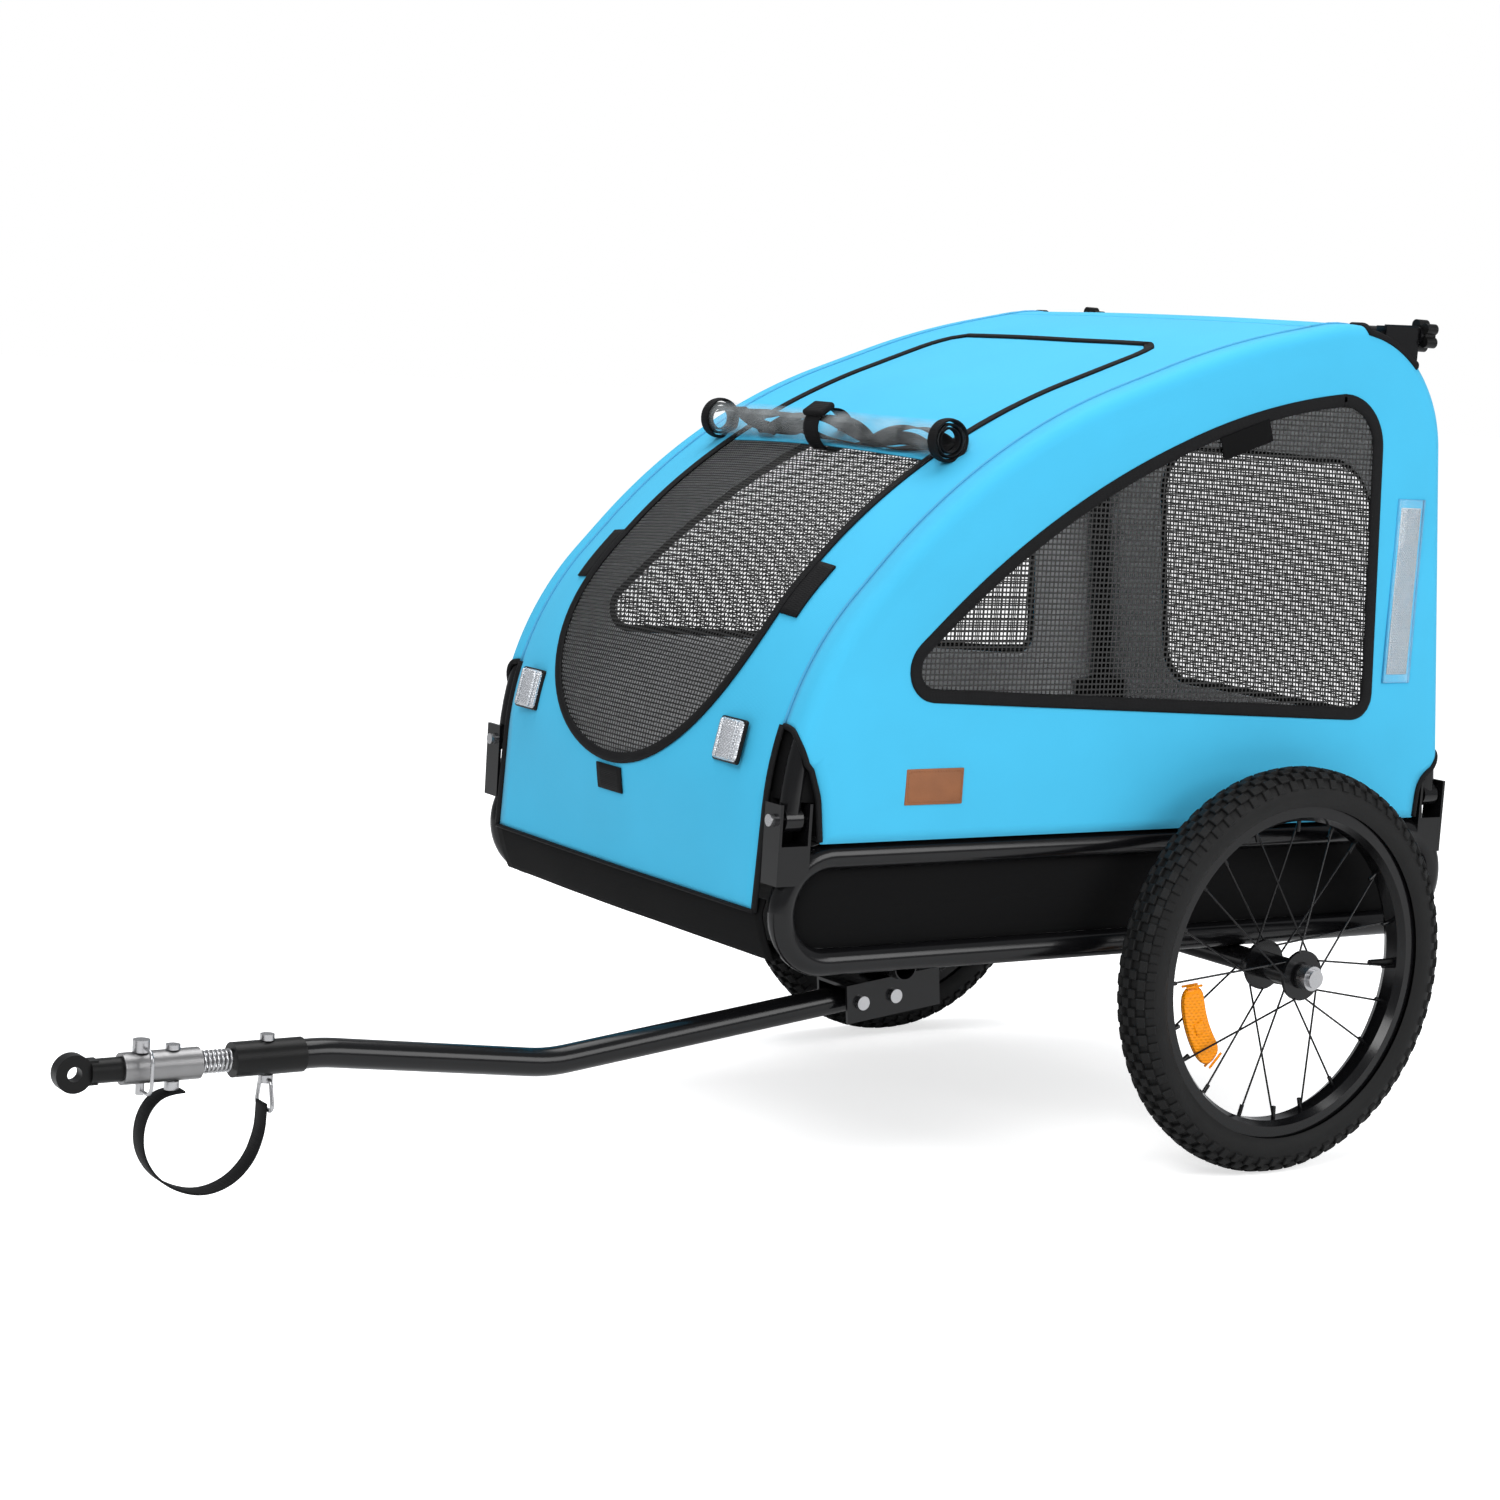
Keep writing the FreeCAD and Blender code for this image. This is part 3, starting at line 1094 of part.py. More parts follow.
def build_hitch():
    y = -size("drawbar_side")
    z = size("hitch_height")
    edges = spring_edges()
    wire = size("spring_wire")
    spring = swept_round(edges, wire / 2)
    print("spring: least gap %.2f mm, tightest bend %.2f mm, volume ratio %.4f" % (
        least_gap(edges, wire), min(edge.Curve.Radius for edge in edges if hasattr(edge.Curve, "Radius")),
        spring.Volume / (math.pi * wire * wire / 4 * sum(edge.Length for edge in edges))))
    node("hitch_spring", shaped("HitchSpring", spring))

    rear = -size("collar_ahead") - size("collar_length") - size("spring_length")
    front = rear - size("sleeve_length")
    outside = cylinder("SleeveOutside", along_x(at(front, y, z)), "sleeve_radius", "sleeve_length")
    inside = cylinder("SleeveBore", along_x(at(front, y, z)), "neck_radius", "neck_depth")
    linch_space = cylinder("LinchSpace", turned(at(-size("linch_ahead"), y, 0)), "linch_radius",
                           "2 * hitch_height")
    bolt_space = cylinder("SleeveBoltSpace", turned(at(-size("sleeve_bolt_ahead"), y, 0)), "sleeve_bolt",
                          "2 * hitch_height")
    spaces = fuse("SleeveSpaces", [linch_space, bolt_space])
    node("hitch_sleeve", cut("HitchSleeve", cut("SleeveTube", outside, inside), spaces))

    eye_x = -size("eye_ahead")
    neck_start = figure("eye_radius - 2 * weld") + eye_x
    neck_length = front + size("neck_depth") - neck_start
    neck = cylinder("CouplingNeck", along_x(at(neck_start, y, z)), "neck_radius", str(neck_length))
    disc = cylinder("EyeDisc", along_y(at(eye_x, y - size("eye_thick") / 2, z)), "eye_radius", "eye_thick")
    shank = box("EyeShank", turned(at(eye_x, y - size("eye_thick") / 2, z - size("neck_radius"))),
                "eye_radius + 4 * weld", "eye_thick", "2 * neck_radius")
    bore = cylinder("EyeBore", along_y(at(eye_x, y - size("eye_thick"), z)), "eye_bore", "2 * eye_thick")
    coupling = fuse("CouplingFused", [neck, disc, shank])
    node("hitch_coupling", cut("HitchCoupling", coupling, fuse("CouplingSpaces", [bore, spaces])))

    reach = size("sleeve_radius")
    bolt_low = z - reach - size("sleeve_foot")
    shaft = cylinder("SleeveBoltShank", turned(at(-size("sleeve_bolt_ahead"), y, bolt_low)), "sleeve_bolt",
                     "2 * sleeve_radius + sleeve_foot")
    cap = cylinder("SleeveBoltCap", turned(at(-size("sleeve_bolt_ahead"), y, z + reach)), "2 * sleeve_bolt",
                   "sleeve_cap")
    foot = cylinder("SleeveBoltFoot", turned(at(-size("sleeve_bolt_ahead"), y, bolt_low)), "2 * sleeve_bolt",
                    "sleeve_foot")
    node("sleeve_bolt", fuse("SleeveBolt", [shaft, cap, foot]))

    pin_low = z - reach - size("linch_reach")
    pin = cylinder("LinchShank", turned(at(-size("linch_ahead"), y, pin_low)), "linch_radius",
                   "2 * sleeve_radius + 2 * linch_reach")
    head = cylinder("LinchHead", turned(at(-size("linch_ahead"), y, z + reach)), "linch_head",
                    "linch_reach + weld")
    node("linch_pin", fuse("LinchPin", [pin, head]))

    bail_wire = size("bail_wire")
    out = y - reach - size("bail_reach")
    top = z + reach + size("linch_reach") / 2
    low = z - reach - size("linch_reach") / 2 - size("weld")
    pivot = at(-size("linch_ahead"), y - figure("linch_head + seat_gap + bail_wire / 2"), top)
    bail = rounded_edges([
        (pivot, 0),
        (at(-size("linch_ahead"), out, top), size("bail_bend")),
        (at(-size("linch_ahead"), out, low), size("bail_bend")),
        (at(-size("linch_ahead"), y - size("linch_radius") - size("seat_gap"), low), 0),
    ])
    bent = swept_round(bail, bail_wire / 2).fuse(Part.makeSphere(bail_wire / 2, pivot))
    node("linch_bail", shaped("LinchBail", bent))


# Safety strap: hangs in a loop from the sleeve's bolt to the hanging ring
STRAP_ROUTE = (
    (-1096.0, 147.05), (-1111.0, 147.05), (-1124.0, 137.5), (-1131.0, 120.0), (-1130.0, 98.0),
    (-1118.0, 78.0), (-1099.0, 65.0), (-1075.0, 59.0), (-1051.0, 66.0), (-1034.0, 83.0),
    (-1026.5, 103.0), (-1024.7, 117.0), (-1024.7, 131.0),
)


def cord_corners(route):
    """Bend radii as large as the two runs beside each point allow."""
    points = [at(x, -size("drawbar_side"), z) for x, z in route]
    corners = [(points[0], 0.0)]
    for before, point, after in zip(points, points[1:], points[2:]):
        turn = (point - before).getAngle(after - point)
        run = min((point - before).Length, (after - point).Length)
        corners.append((point, 0.45 * run / math.tan(turn / 2)))
    corners.append((points[-1], 0.0))
    return corners


def build_strap():
    corners = cord_corners(STRAP_ROUTE)
    print("strap: bend radii", ["%.0f" % bend for _, bend in corners[1:-1]])
    edges = rounded_edges(corners)
    width = size("strap_width")
    thick = size("strap_thick")
    start = edges[0].valueAt(edges[0].FirstParameter)
    heading = edges[0].tangentAt(edges[0].FirstParameter)
    across = Vector(-heading.z, 0, heading.x)
    places = ((-1, -1), (1, -1), (1, 1), (-1, 1))
    ring = [start + across * (thick / 2 * a) + Y_AXIS * (width / 2 * b) for a, b in places]
    section = Part.Wire(Part.makePolygon(ring + ring[:1]))
    strap = Part.Wire(edges).makePipeShell([section], True, False)
    length = sum(edge.Length for edge in edges)
    print("strap: length %.1f mm, volume ratio %.4f" % (length, strap.Volume / (length * width * thick)))
    node("safety_strap", shaped("SafetyStrap", strap))


def export():
    doc.recompute()
    faults = [item.Label for item in doc.Objects if "Invalid" in item.State or "Error" in item.State]
    for item in NODES:
        if item.Shape.isNull() or not item.Shape.isValid() or not item.Shape.Solids:
            faults.append(item.Label)
    if faults:
        raise RuntimeError("failed objects: " + ", ".join(sorted(set(faults))))
    os.makedirs("parts", exist_ok=True)
    for item in NODES:
        item.Shape.exportStep("parts/%s.step" % item.Label)
    print("nodes", len(NODES), "axle at x = %.2f" % AXLE_X)


build_base()
build_hinges()
build_cover()
build_spreader()
build_axles()
build_hoops()
for side_name, side_sign in SIDES:
    build_side_cloth(side_name, side_sign)
    build_wheel(side_name, side_sign)
build_drawbar()
build_hitch()
build_strap()
export()
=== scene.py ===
import math

import bmesh
import bpy
import numpy as np
from mathutils import Matrix, Vector, noise


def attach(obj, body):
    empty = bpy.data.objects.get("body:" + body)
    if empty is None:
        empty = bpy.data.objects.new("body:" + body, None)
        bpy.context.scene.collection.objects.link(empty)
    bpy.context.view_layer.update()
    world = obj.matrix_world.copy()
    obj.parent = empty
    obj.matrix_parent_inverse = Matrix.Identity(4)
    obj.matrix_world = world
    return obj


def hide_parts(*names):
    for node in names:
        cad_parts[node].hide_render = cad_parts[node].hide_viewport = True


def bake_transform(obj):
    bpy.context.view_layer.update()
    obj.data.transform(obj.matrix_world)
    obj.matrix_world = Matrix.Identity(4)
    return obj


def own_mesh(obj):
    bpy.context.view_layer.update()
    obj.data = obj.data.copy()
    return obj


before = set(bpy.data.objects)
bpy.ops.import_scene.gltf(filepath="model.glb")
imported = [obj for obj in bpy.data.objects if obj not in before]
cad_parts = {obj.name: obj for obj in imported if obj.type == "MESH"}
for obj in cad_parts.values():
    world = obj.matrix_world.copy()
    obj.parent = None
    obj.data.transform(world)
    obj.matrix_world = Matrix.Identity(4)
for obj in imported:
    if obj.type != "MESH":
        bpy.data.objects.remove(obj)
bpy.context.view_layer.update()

# Sizes are in metres; places along X are counted from the wheel axle, unless a comment says otherwise
AXLE_X = 0.46775
WHEEL_Y = 0.320         # middle of a wheel
WHEEL_Z = 0.200
SEAM_Y = 0.238          # seam between the front and roof cloth and the side cloth
HINGE_EDGE_Y = 0.236    # edge of the front and rear cloth beside the hinges
SIDE_Y = 0.267          # outer face of the side cloth
EDGE_ROLL = 0.014       # radius of the side cloth's rounded edge over the hoop
FLAT_INSET = 0.020      # how far inside the outline the side cloth runs flat
DRAWBAR_Y = -0.211
HITCH_Z = 0.168
CLOTH_THICKNESS = 0.0018
SIDE_THICKNESS = 0.0016
NET_INSET = 0.0012      # nets lie this far inside the cloth's face
WELD = 0.0003           # points of neighbouring cloth that lie closer than this become one
SIDES = (("left", -1), ("right", 1))

# Cover's side outline: place along X, height, bend radius
OUTLINE = (
    (-0.567, 0.270, 0.0), (-0.556, 0.474, 0.300), (-0.347, 0.696, 0.650),
    (-0.066, 0.798, 1.000), (0.1955, 0.852, 0.131), (0.262, 0.280, 0.0),
)
ROOF_FROM_Z = 0.55
CROWN_LEAST = 0.003     # how far the cloth between the seams stands out at its middle
CROWN_NOSE = 0.021      # what the nose adds to that
CROWN_BACK = 0.006      # and what the back adds
NOSE_RISE = (0.270, 0.400)      # heights between which the nose's crown grows
NOSE_FALL = (0.560, 0.740)      # and between which it goes back again
BACK_TOP_Z = 0.80       # the back's crown grows from this height downwards
BACK_REACH = 0.25       # and is whole this far below it


# Places and curves

def at(x, y, z):
    """Point in the frame, from a place that is counted along X from the axle."""
    return Vector((x + AXLE_X, y, z))


def polar(angle, radius=1.0, y=0.0):
    """Point on a ring that is round in a side view."""
    return Vector((math.cos(angle) * radius, y, math.sin(angle) * radius))


def spread(low, high, count):
    """Values at equal distances."""
    return [low + (high - low) * index / (count - 1) for index in range(count)]


def rectangle(u, v):
    """Corners of a rectangle with these half sizes, going round."""
    return [(-u, -v), (u, -v), (u, v), (-u, v)]


def rounded(corners, closed=False, step=0.006):
    """Points along straight runs joined by tangent arcs; a corner is two coordinates and a bend radius."""
    count = len(corners)
    points = []
    for index, (u, v, bend) in enumerate(corners):
        here = np.array((u, v))
        if bend <= 0 or (not closed and index in (0, count - 1)):
            points.append(here)
            continue
        before = np.array(corners[index - 1][:2]) - here
        after = np.array(corners[(index + 1) % count][:2]) - here
        before = before / np.linalg.norm(before)
        after = after / np.linalg.norm(after)
        half = math.acos(max(-1.0, min(1.0, float(before @ after)))) / 2
        reach = bend / math.tan(half)
        centre_way = (before + after) / np.linalg.norm(before + after)
        centre = here + centre_way * (bend / math.sin(half))
        start = here + before * reach - centre
        sweep = math.pi - 2 * half
        side = 1 if before[0] * after[1] - before[1] * after[0] < 0 else -1
        parts = max(3, int(sweep * bend / step))
        for part in range(parts + 1):
            angle = side * sweep * part / parts
            turn = np.array(((math.cos(angle), -math.sin(angle)), (math.sin(angle), math.cos(angle))))
            points.append(centre + turn @ start)
    return np.array(points)


def resampled(points, count, closed=False):
    """Points at equal distances along a line."""
    line = np.vstack((points, points[:1])) if closed else points
    steps = np.linalg.norm(np.diff(line, axis=0), axis=1)
    run = np.concatenate(((0.0,), np.cumsum(steps)))
    wanted = np.linspace(0, run[-1], count + 1)[:-1] if closed else np.linspace(0, run[-1], count)
    return np.stack([np.interp(wanted, run, line[:, axis]) for axis in range(line.shape[1])], axis=1)


def sideways(along):
    """Unit vectors a quarter turn from the given ones."""
    return np.stack((along[:, 1], -along[:, 0]), axis=1) / np.linalg.norm(along, axis=1)[:, None]


# Outline and its outward normals, from the front hem over the roof to the rear hem
PROFILE = resampled(rounded(OUTLINE), 261)
PROFILE_NORMAL = -sideways(np.gradient(PROFILE, axis=0))
LAST = len(PROFILE) - 1


def eased(value, low, high):
    """Share from 0 to 1 that starts and ends softly."""
    share = max(0.0, min(1.0, (value - low) / (high - low)))
    return share * share * (3 - 2 * share)


def crown(x, z):
    """How far the cloth between the seams stands out at its middle."""
    if x < 0:
        return CROWN_LEAST + CROWN_NOSE * (eased(z, *NOSE_RISE) * (1 - eased(z, *NOSE_FALL)))
    return CROWN_LEAST + CROWN_BACK * eased(BACK_TOP_Z - z, 0.0, BACK_REACH)


def ripple(x, y, z, size, height):
    """Small uneven waves of stretched cloth."""
    return height * noise.noise(Vector((x / size, y / size, z / size)))


def outline_at(step):
    """Place and outward normal on the outline at a step, which may lie between two of its points."""
    low = min(int(step), LAST - 1)
    share = step - low
    place = PROFILE[low] * (1 - share) + PROFILE[low + 1] * share
    normal = PROFILE_NORMAL[low] * (1 - share) + PROFILE_NORMAL[low + 1] * share
    return place, normal


def outward(step):
    """Way that the outline faces at a step."""
    normal = outline_at(step)[1]
    return Vector((normal[0], 0, normal[1]))


def leaning(step):
    """Turn that lays a flat piece on the cover at a step."""
    normal = outline_at(step)[1]
    return Matrix.Rotation(-math.atan2(-normal[0], normal[1]), 4, "Y")


def cover_point(step, y, lift=0.0):
    """Point of the front, roof or rear cloth at a step along the outline."""
    (x, z), normal = outline_at(step)
    share = y / SEAM_Y
    out = crown(x, z) * (1 - share * share) + lift
    if abs(y) < SEAM_Y:
        out += ripple(x, y, z, size=0.12, height=0.0012) * (1 - share * share)
    return at(x + normal[0] * out, y, z + normal[1] * out)


def between(height, front=True):
    """Step, with its fraction, where the front or rear cloth passes a height."""
    crest = int(PROFILE[:, 1].argmax())
    if front:
        return float(np.interp(height, PROFILE[:crest, 1], np.arange(crest)))
    return float(np.interp(height, PROFILE[crest:, 1][::-1], np.arange(LAST, crest - 1, -1)))


def step_at_height(height, front=True):
    """Whole step nearest to where the front or rear cloth passes a height."""
    return int(round(between(height, front)))


def step_at_x(place):
    """Step along the outline on the roof at a place along X."""
    return int(np.where(PROFILE[:, 1] > ROOF_FROM_Z, abs(PROFILE[:, 0] - place), np.inf).argmin())


# Objects

COVER_MIDDLE = at(-0.12, 0, 0.52)


def mesh_object(name, points, faces, material):
    """Smooth mesh in the scene."""
    data = bpy.data.meshes.new(name)
    data.from_pydata([tuple(point) for point in points], [], faces)
    data.validate()
    data.update()
    data.polygons.foreach_set("use_smooth", [True] * len(data.polygons))
    data.materials.append(material)
    item = bpy.data.objects.new(name, data)
    bpy.context.scene.collection.objects.link(item)
    return item


def grid_faces(rows, columns, closed_rows=False, closed_columns=False):
    """Quads over rows of points."""
    faces = []
    for row in range(rows if closed_rows else rows - 1):
        here, below = row * columns, (row + 1) % rows * columns
        for column in range(columns if closed_columns else columns - 1):
            right = (column + 1) % columns
            faces.append((here + column, here + right, below + right, below + column))
    return faces


def grid_object(name, rows, material, closed=False):
    """Quad mesh over rows of points; in a closed one each row goes round."""
    points = [point for row in rows for point in row]
    return mesh_object(name, points, grid_faces(len(rows), len(rows[0]), False, closed), material)


def ring_object(name, rings, material, closed=False):
    """Mesh over rings of points, with a cap at both ends unless the last ring meets the first."""
    sides = len(rings[0])
    points = [point for ring in rings for point in ring]
    faces = grid_faces(len(rings), sides, closed, True)
    if not closed:
        faces.append(tuple(reversed(range(sides))))
        faces.append(tuple(range(len(points) - sides, len(points))))
    return mesh_object(name, points, faces, material)


def tube_object(name, path, radius, material, sides=10, closed=False, flat=1.0, up=(0, 0, 1)):
    """Tube along a path; flat squeezes it along up, which is one way or a list with one for each point."""
    path = [Vector(point) for point in path]
    ups = up if isinstance(up, list) else [up] * len(path)
    count = len(path)
    rings = []
    for index, (point, guide) in enumerate(zip(path, ups)):
        before = path[(index - 1) % count] if closed or index else point
        after = path[(index + 1) % count] if closed or index < count - 1 else point
        ahead = (after - before).normalized()
        side = ahead.cross(Vector(guide))
        if side.length < 1e-6:
            side = ahead.cross(Vector((0, 1, 0)))
        side.normalize()
        top = side.cross(ahead).normalized()
        turns = [2 * math.pi * k / sides for k in range(sides)]
        rings.append([point + side * (radius * math.cos(turn)) + top * (radius * flat * math.sin(turn))
                      for turn in turns])
    return ring_object(name, rings, material, closed)


def applied(item):
    """Mesh with its modifiers made final."""
    graph = bpy.context.evaluated_depsgraph_get()
    final = bpy.data.meshes.new_from_object(item.evaluated_get(graph), depsgraph=graph)
    item.modifiers.clear()
    item.data = final
    return item


def thickened(item, thickness, offset=0.0, lining=None):
    """Sheet with a thickness; the face that is added takes the lining's material."""
    shell = item.modifiers.new("Thickness", "SOLIDIFY")
    shell.thickness = thickness
    shell.offset = offset
    if lining:
        item.data.materials.append(lining)
        shell.material_offset = 1
    return applied(item)


def joined(name, pieces, weld=0.0):
    """One mesh from several objects; with a weld, close points become one and faces look outwards."""
    points = []
    faces = []
    for piece in pieces:
        start = len(points)
        points += [piece.matrix_world @ vertex.co for vertex in piece.data.vertices]
        faces += [tuple(start + index for index in face.vertices) for face in piece.data.polygons]
    material = pieces[0].data.materials[0]
    for piece in pieces:
        bpy.data.objects.remove(piece)
    item = mesh_object(name, points, faces, material)
    if weld:
        work = bmesh.new()
        work.from_mesh(item.data)
        bmesh.ops.remove_doubles(work, verts=work.verts, dist=weld)
        bmesh.ops.recalc_face_normals(work, faces=work.faces)
        facing_out = sum(face.normal.dot(face.calc_center_median() - COVER_MIDDLE) * face.calc_area()
                         for face in work.faces)
        if facing_out < 0:
            bmesh.ops.reverse_faces(work, faces=work.faces)
        work.to_mesh(item.data)
        work.free()
    return item


def block(name, size, material, bevel, segments, place):
    """Box with rounded edges, moved by a matrix from the origin to its place."""
    corners = [(x * size[0] / 2, y * size[1] / 2, z * size[2] / 2)
               for x in (-1, 1) for y in (-1, 1) for z in (-1, 1)]
    faces = [(0, 1, 3, 2), (4, 6, 7, 5), (0, 4, 5, 1), (2, 3, 7, 6), (0, 2, 6, 4), (1, 5, 7, 3)]
    item = mesh_object(name, corners, faces, material)
    edge = item.modifiers.new("Edge", "BEVEL")
    edge.width = bevel
    edge.segments = segments
    applied(item).data.transform(place)
    return item


def moved(x, y, z):
    """Matrix that moves a piece."""
    return Matrix.Translation((x, y, z))


def metre_map(net, place):
    """UV map in metres that carries a net's pattern; place turns a vertex into two distances."""
    layer = net.data.uv_layers.new(name="metres")
    for loop in net.data.loops:
        layer.data[loop.index].uv = place(net.data.vertices[loop.vertex_index])


def dressed(item, body, slot, *nodes):
    """Piece rides on a body and stands for CAD nodes, which it hides; slot is not used."""
    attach(item, body)
    if nodes:
        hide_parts(*nodes)
    return item


def soft_cover(item, slot, *nodes, joint="left_hoop_fold"):
    """Cloth on the chassis, with a mesh of its own; joint is not used."""
    dressed(item, "chassis", slot, *nodes)
    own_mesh(item)


# Materials

class Paint:
    """Principled material with a few helpers for procedural detail."""

    def __init__(self, name, colour, roughness, metallic=0.0):
        self.material = bpy.data.materials.new(name)
        self.material.use_nodes = True
        self.tree = self.material.node_tree
        self.shader = self.tree.nodes["Principled BSDF"]
        self.colour = colour
        self.shade(Base_Color=(*colour, 1.0), Roughness=roughness, Metallic=metallic)

    def put(self, target, value):
        """Gives an input a value, or a link from another node."""
        if isinstance(value, bpy.types.NodeSocket):
            self.tree.links.new(value, target)
        else:
            target.default_value = value

    def fill(self, item, inputs):
        for socket, value in inputs.items():
            self.put(item.inputs[socket.replace("_", " ")], value)
        return item

    def shade(self, **inputs):
        self.fill(self.shader, inputs)

    def node(self, kind, **inputs):
        return self.fill(self.tree.nodes.new("ShaderNode" + kind), inputs)

    def math(self, operation, *values):
        item = self.node("Math")
        item.operation = operation
        for target, value in zip(item.inputs, values):
            self.put(target, value)
        return item.outputs[0]

    def texture(self, kind, **inputs):
        """Texture laid out in metres."""
        return self.node("Tex" + kind, Vector=self.node("TexCoord").outputs["Object"], **inputs)

    def noise(self, scale, detail=4.0):
        return self.texture("Noise", Scale=scale, Detail=detail).outputs["Fac"]

    def wave(self, scale, direction, distortion=0.0):
        item = self.texture("Wave", Scale=scale, Distortion=distortion)
        item.bands_direction = direction
        return item.outputs["Fac"]

    def ranged(self, factor, low, high, first=0.0, last=1.0):
        """Factor brought from the range between first and last into the one between low and high."""
        item = self.node("MapRange", Value=factor, From_Min=first, From_Max=last, To_Min=low, To_Max=high)
        return item.outputs["Result"]

    def mottle(self, factor, dark, light):
        """Colour that varies between two strengths of the base colour."""
        scaled = self.node("VectorMath")
        scaled.operation = "SCALE"
        self.put(scaled.inputs[0], self.colour)
        self.put(scaled.inputs["Scale"], self.ranged(factor, dark, light))
        self.shade(Base_Color=scaled.outputs[0])

    def rough(self, factor, low, high):
        self.shade(Roughness=self.ranged(factor, low, high))

    def bump(self, height, distance, strength):
        item = self.node("Bump", Height=height, Distance=distance, Strength=strength)
        self.shade(Normal=item.outputs["Normal"])


WAVE_PITCH = 0.314      # a wave texture's scale times the distance from one band to the next


def cloth(name, colour, thread=0.0011, roughness=0.75, fold=0.0, sheen=0.12, shine=0.5):
    """Woven polyester: crossed threads, faint mottling and soft waves."""
    paint = Paint(name, colour, roughness)
    paint.shade(Specular_IOR_Level=shine, Sheen_Weight=sheen, Sheen_Roughness=0.5)
    scale = WAVE_PITCH / thread
    threads = paint.math("MAXIMUM", paint.wave(scale, "X"), paint.wave(scale, "Z"))
    threads = paint.math("MAXIMUM", threads, paint.math("MULTIPLY", paint.wave(scale, "Y"), 0.9))
    broad = paint.noise(9.0, 3.0)
    height = paint.math("ADD", paint.math("MULTIPLY", threads, 0.35), paint.math("MULTIPLY", broad, fold))
    paint.bump(height, 0.0006, 0.35)
    paint.mottle(broad, 0.93, 1.06)
    return paint.material


def netting(name, colour, pitch, opening):
    """Open woven mesh: dark threads with square holes, laid out on the map in metres."""
    paint = Paint(name, colour, 0.6)
    layer = paint.node("UVMap")
    layer.uv_map = "metres"
    parts = paint.node("SeparateXYZ", Vector=layer.outputs["UV"])
    masks = []
    rounds = []
    for axis in ("X", "Y"):
        phase = paint.math("FRACT", paint.math("DIVIDE", parts.outputs[axis], pitch))
        middle = paint.math("ABSOLUTE", paint.math("SUBTRACT", phase, 0.5))
        masks.append(paint.math("LESS_THAN", middle, opening / 2))
        rounds.append(middle)
    hole = paint.math("MULTIPLY", masks[0], masks[1])
    paint.shade(Alpha=paint.math("SUBTRACT", 1.0, hole))
    paint.bump(paint.math("ADD", rounds[0], rounds[1]), 0.0006, 0.6)
    paint.mottle(paint.noise(60.0), 0.7, 1.3)
    return paint.material


def coated(name, colour, roughness=0.18):
    """Powder-coated steel: a slight orange peel under a gloss coat."""
    paint = Paint(name, colour, roughness)
    paint.shade(Specular_IOR_Level=0.24, Coat_Weight=0.12, Coat_Roughness=0.12)
    paint.bump(paint.noise(900.0, 2.0), 0.00015, 0.3)
    paint.rough(paint.noise(40.0), roughness * 0.8, roughness * 1.25)
    paint.mottle(paint.noise(25.0), 0.85, 1.15)
    return paint.material


def metal(name, colour, roughness):
    """Plated or brushed metal with fine grain along X."""
    paint = Paint(name, colour, roughness, 1.0)
    lines = paint.wave(700.0, "X", 6.0)
    paint.rough(lines, roughness * 0.8, roughness * 1.3)
    paint.bump(lines, 0.00008, 0.25)
    paint.mottle(paint.noise(70.0), 0.88, 1.05)
    return paint.material


def moulded(name, colour, roughness):
    """Moulded plastic with a fine spark texture."""
    paint = Paint(name, colour, roughness)
    paint.shade(Specular_IOR_Level=0.18)
    paint.bump(paint.noise(1600.0, 2.0), 0.0002, 0.35)
    paint.rough(paint.noise(120.0), roughness * 0.85, roughness * 1.2)
    paint.mottle(paint.noise(30.0), 0.88, 1.12)
    return paint.material


def rubber(name, colour):
    """Dull rubber with dusty patches."""
    paint = Paint(name, colour, 0.62)
    paint.shade(Specular_IOR_Level=0.22)
    paint.bump(paint.noise(500.0, 5.0), 0.0003, 0.5)
    paint.mottle(paint.noise(35.0, 5.0), 0.7, 1.5)
    return paint.material


def webbing(name, colour):
    """Narrow ribbed tape."""
    paint = Paint(name, colour, 0.7)
    paint.shade(Specular_IOR_Level=0.16)
    ribs = paint.math("MAXIMUM", paint.wave(190.0, "X"), paint.wave(190.0, "Z"))
    paint.bump(ribs, 0.0005, 0.5)
    paint.mottle(paint.noise(80.0), 0.75, 1.4)
    return paint.material


def clear_film(name):
    """Soft clear sheet: see-through with streaks and a wet gloss."""
    paint = Paint(name, (0.82, 0.88, 0.9), 0.08)
    streak = paint.noise(26.0, 3.0)
    paint.shade(Alpha=paint.ranged(streak, 0.03, 0.13, 0.35, 0.7), Coat_Weight=0.8, Coat_Roughness=0.04)
    paint.bump(streak, 0.002, 0.25)
    return paint.material


def prism(name, colour, pitch, roughness=0.16, metallic=0.0, gloss=0.9):
    """Reflector lens: small pyramids under a glossy face, with painted shade that darkens the grooves between
    them.
    """
    paint = Paint(name, colour, roughness, metallic)
    paint.shade(Specular_IOR_Level=gloss / 2, Coat_Weight=gloss, Coat_Roughness=0.05)
    scale = WAVE_PITCH / pitch
    squares = paint.math("ADD", paint.wave(scale, "Y"), paint.wave(scale, "Z"))
    cells = paint.math("ADD", paint.wave(scale, "DIAGONAL"), squares)
    paint.bump(cells, 0.0008, 0.7)
    # Colour darker in the grooves between the pyramids: painted shade.
    paint.mottle(cells, 0.75, 1.05)
    return paint.material


def leather(name, colour):
    """Grained leather with uneven colour."""
    paint = Paint(name, colour, 0.55)
    cells = paint.texture("Voronoi", Scale=700.0).outputs["Distance"]
    paint.bump(paint.math("ADD", cells, paint.noise(150.0)), 0.0004, 0.5)
    paint.mottle(paint.noise(45.0, 5.0), 0.7, 1.25)
    return paint.material


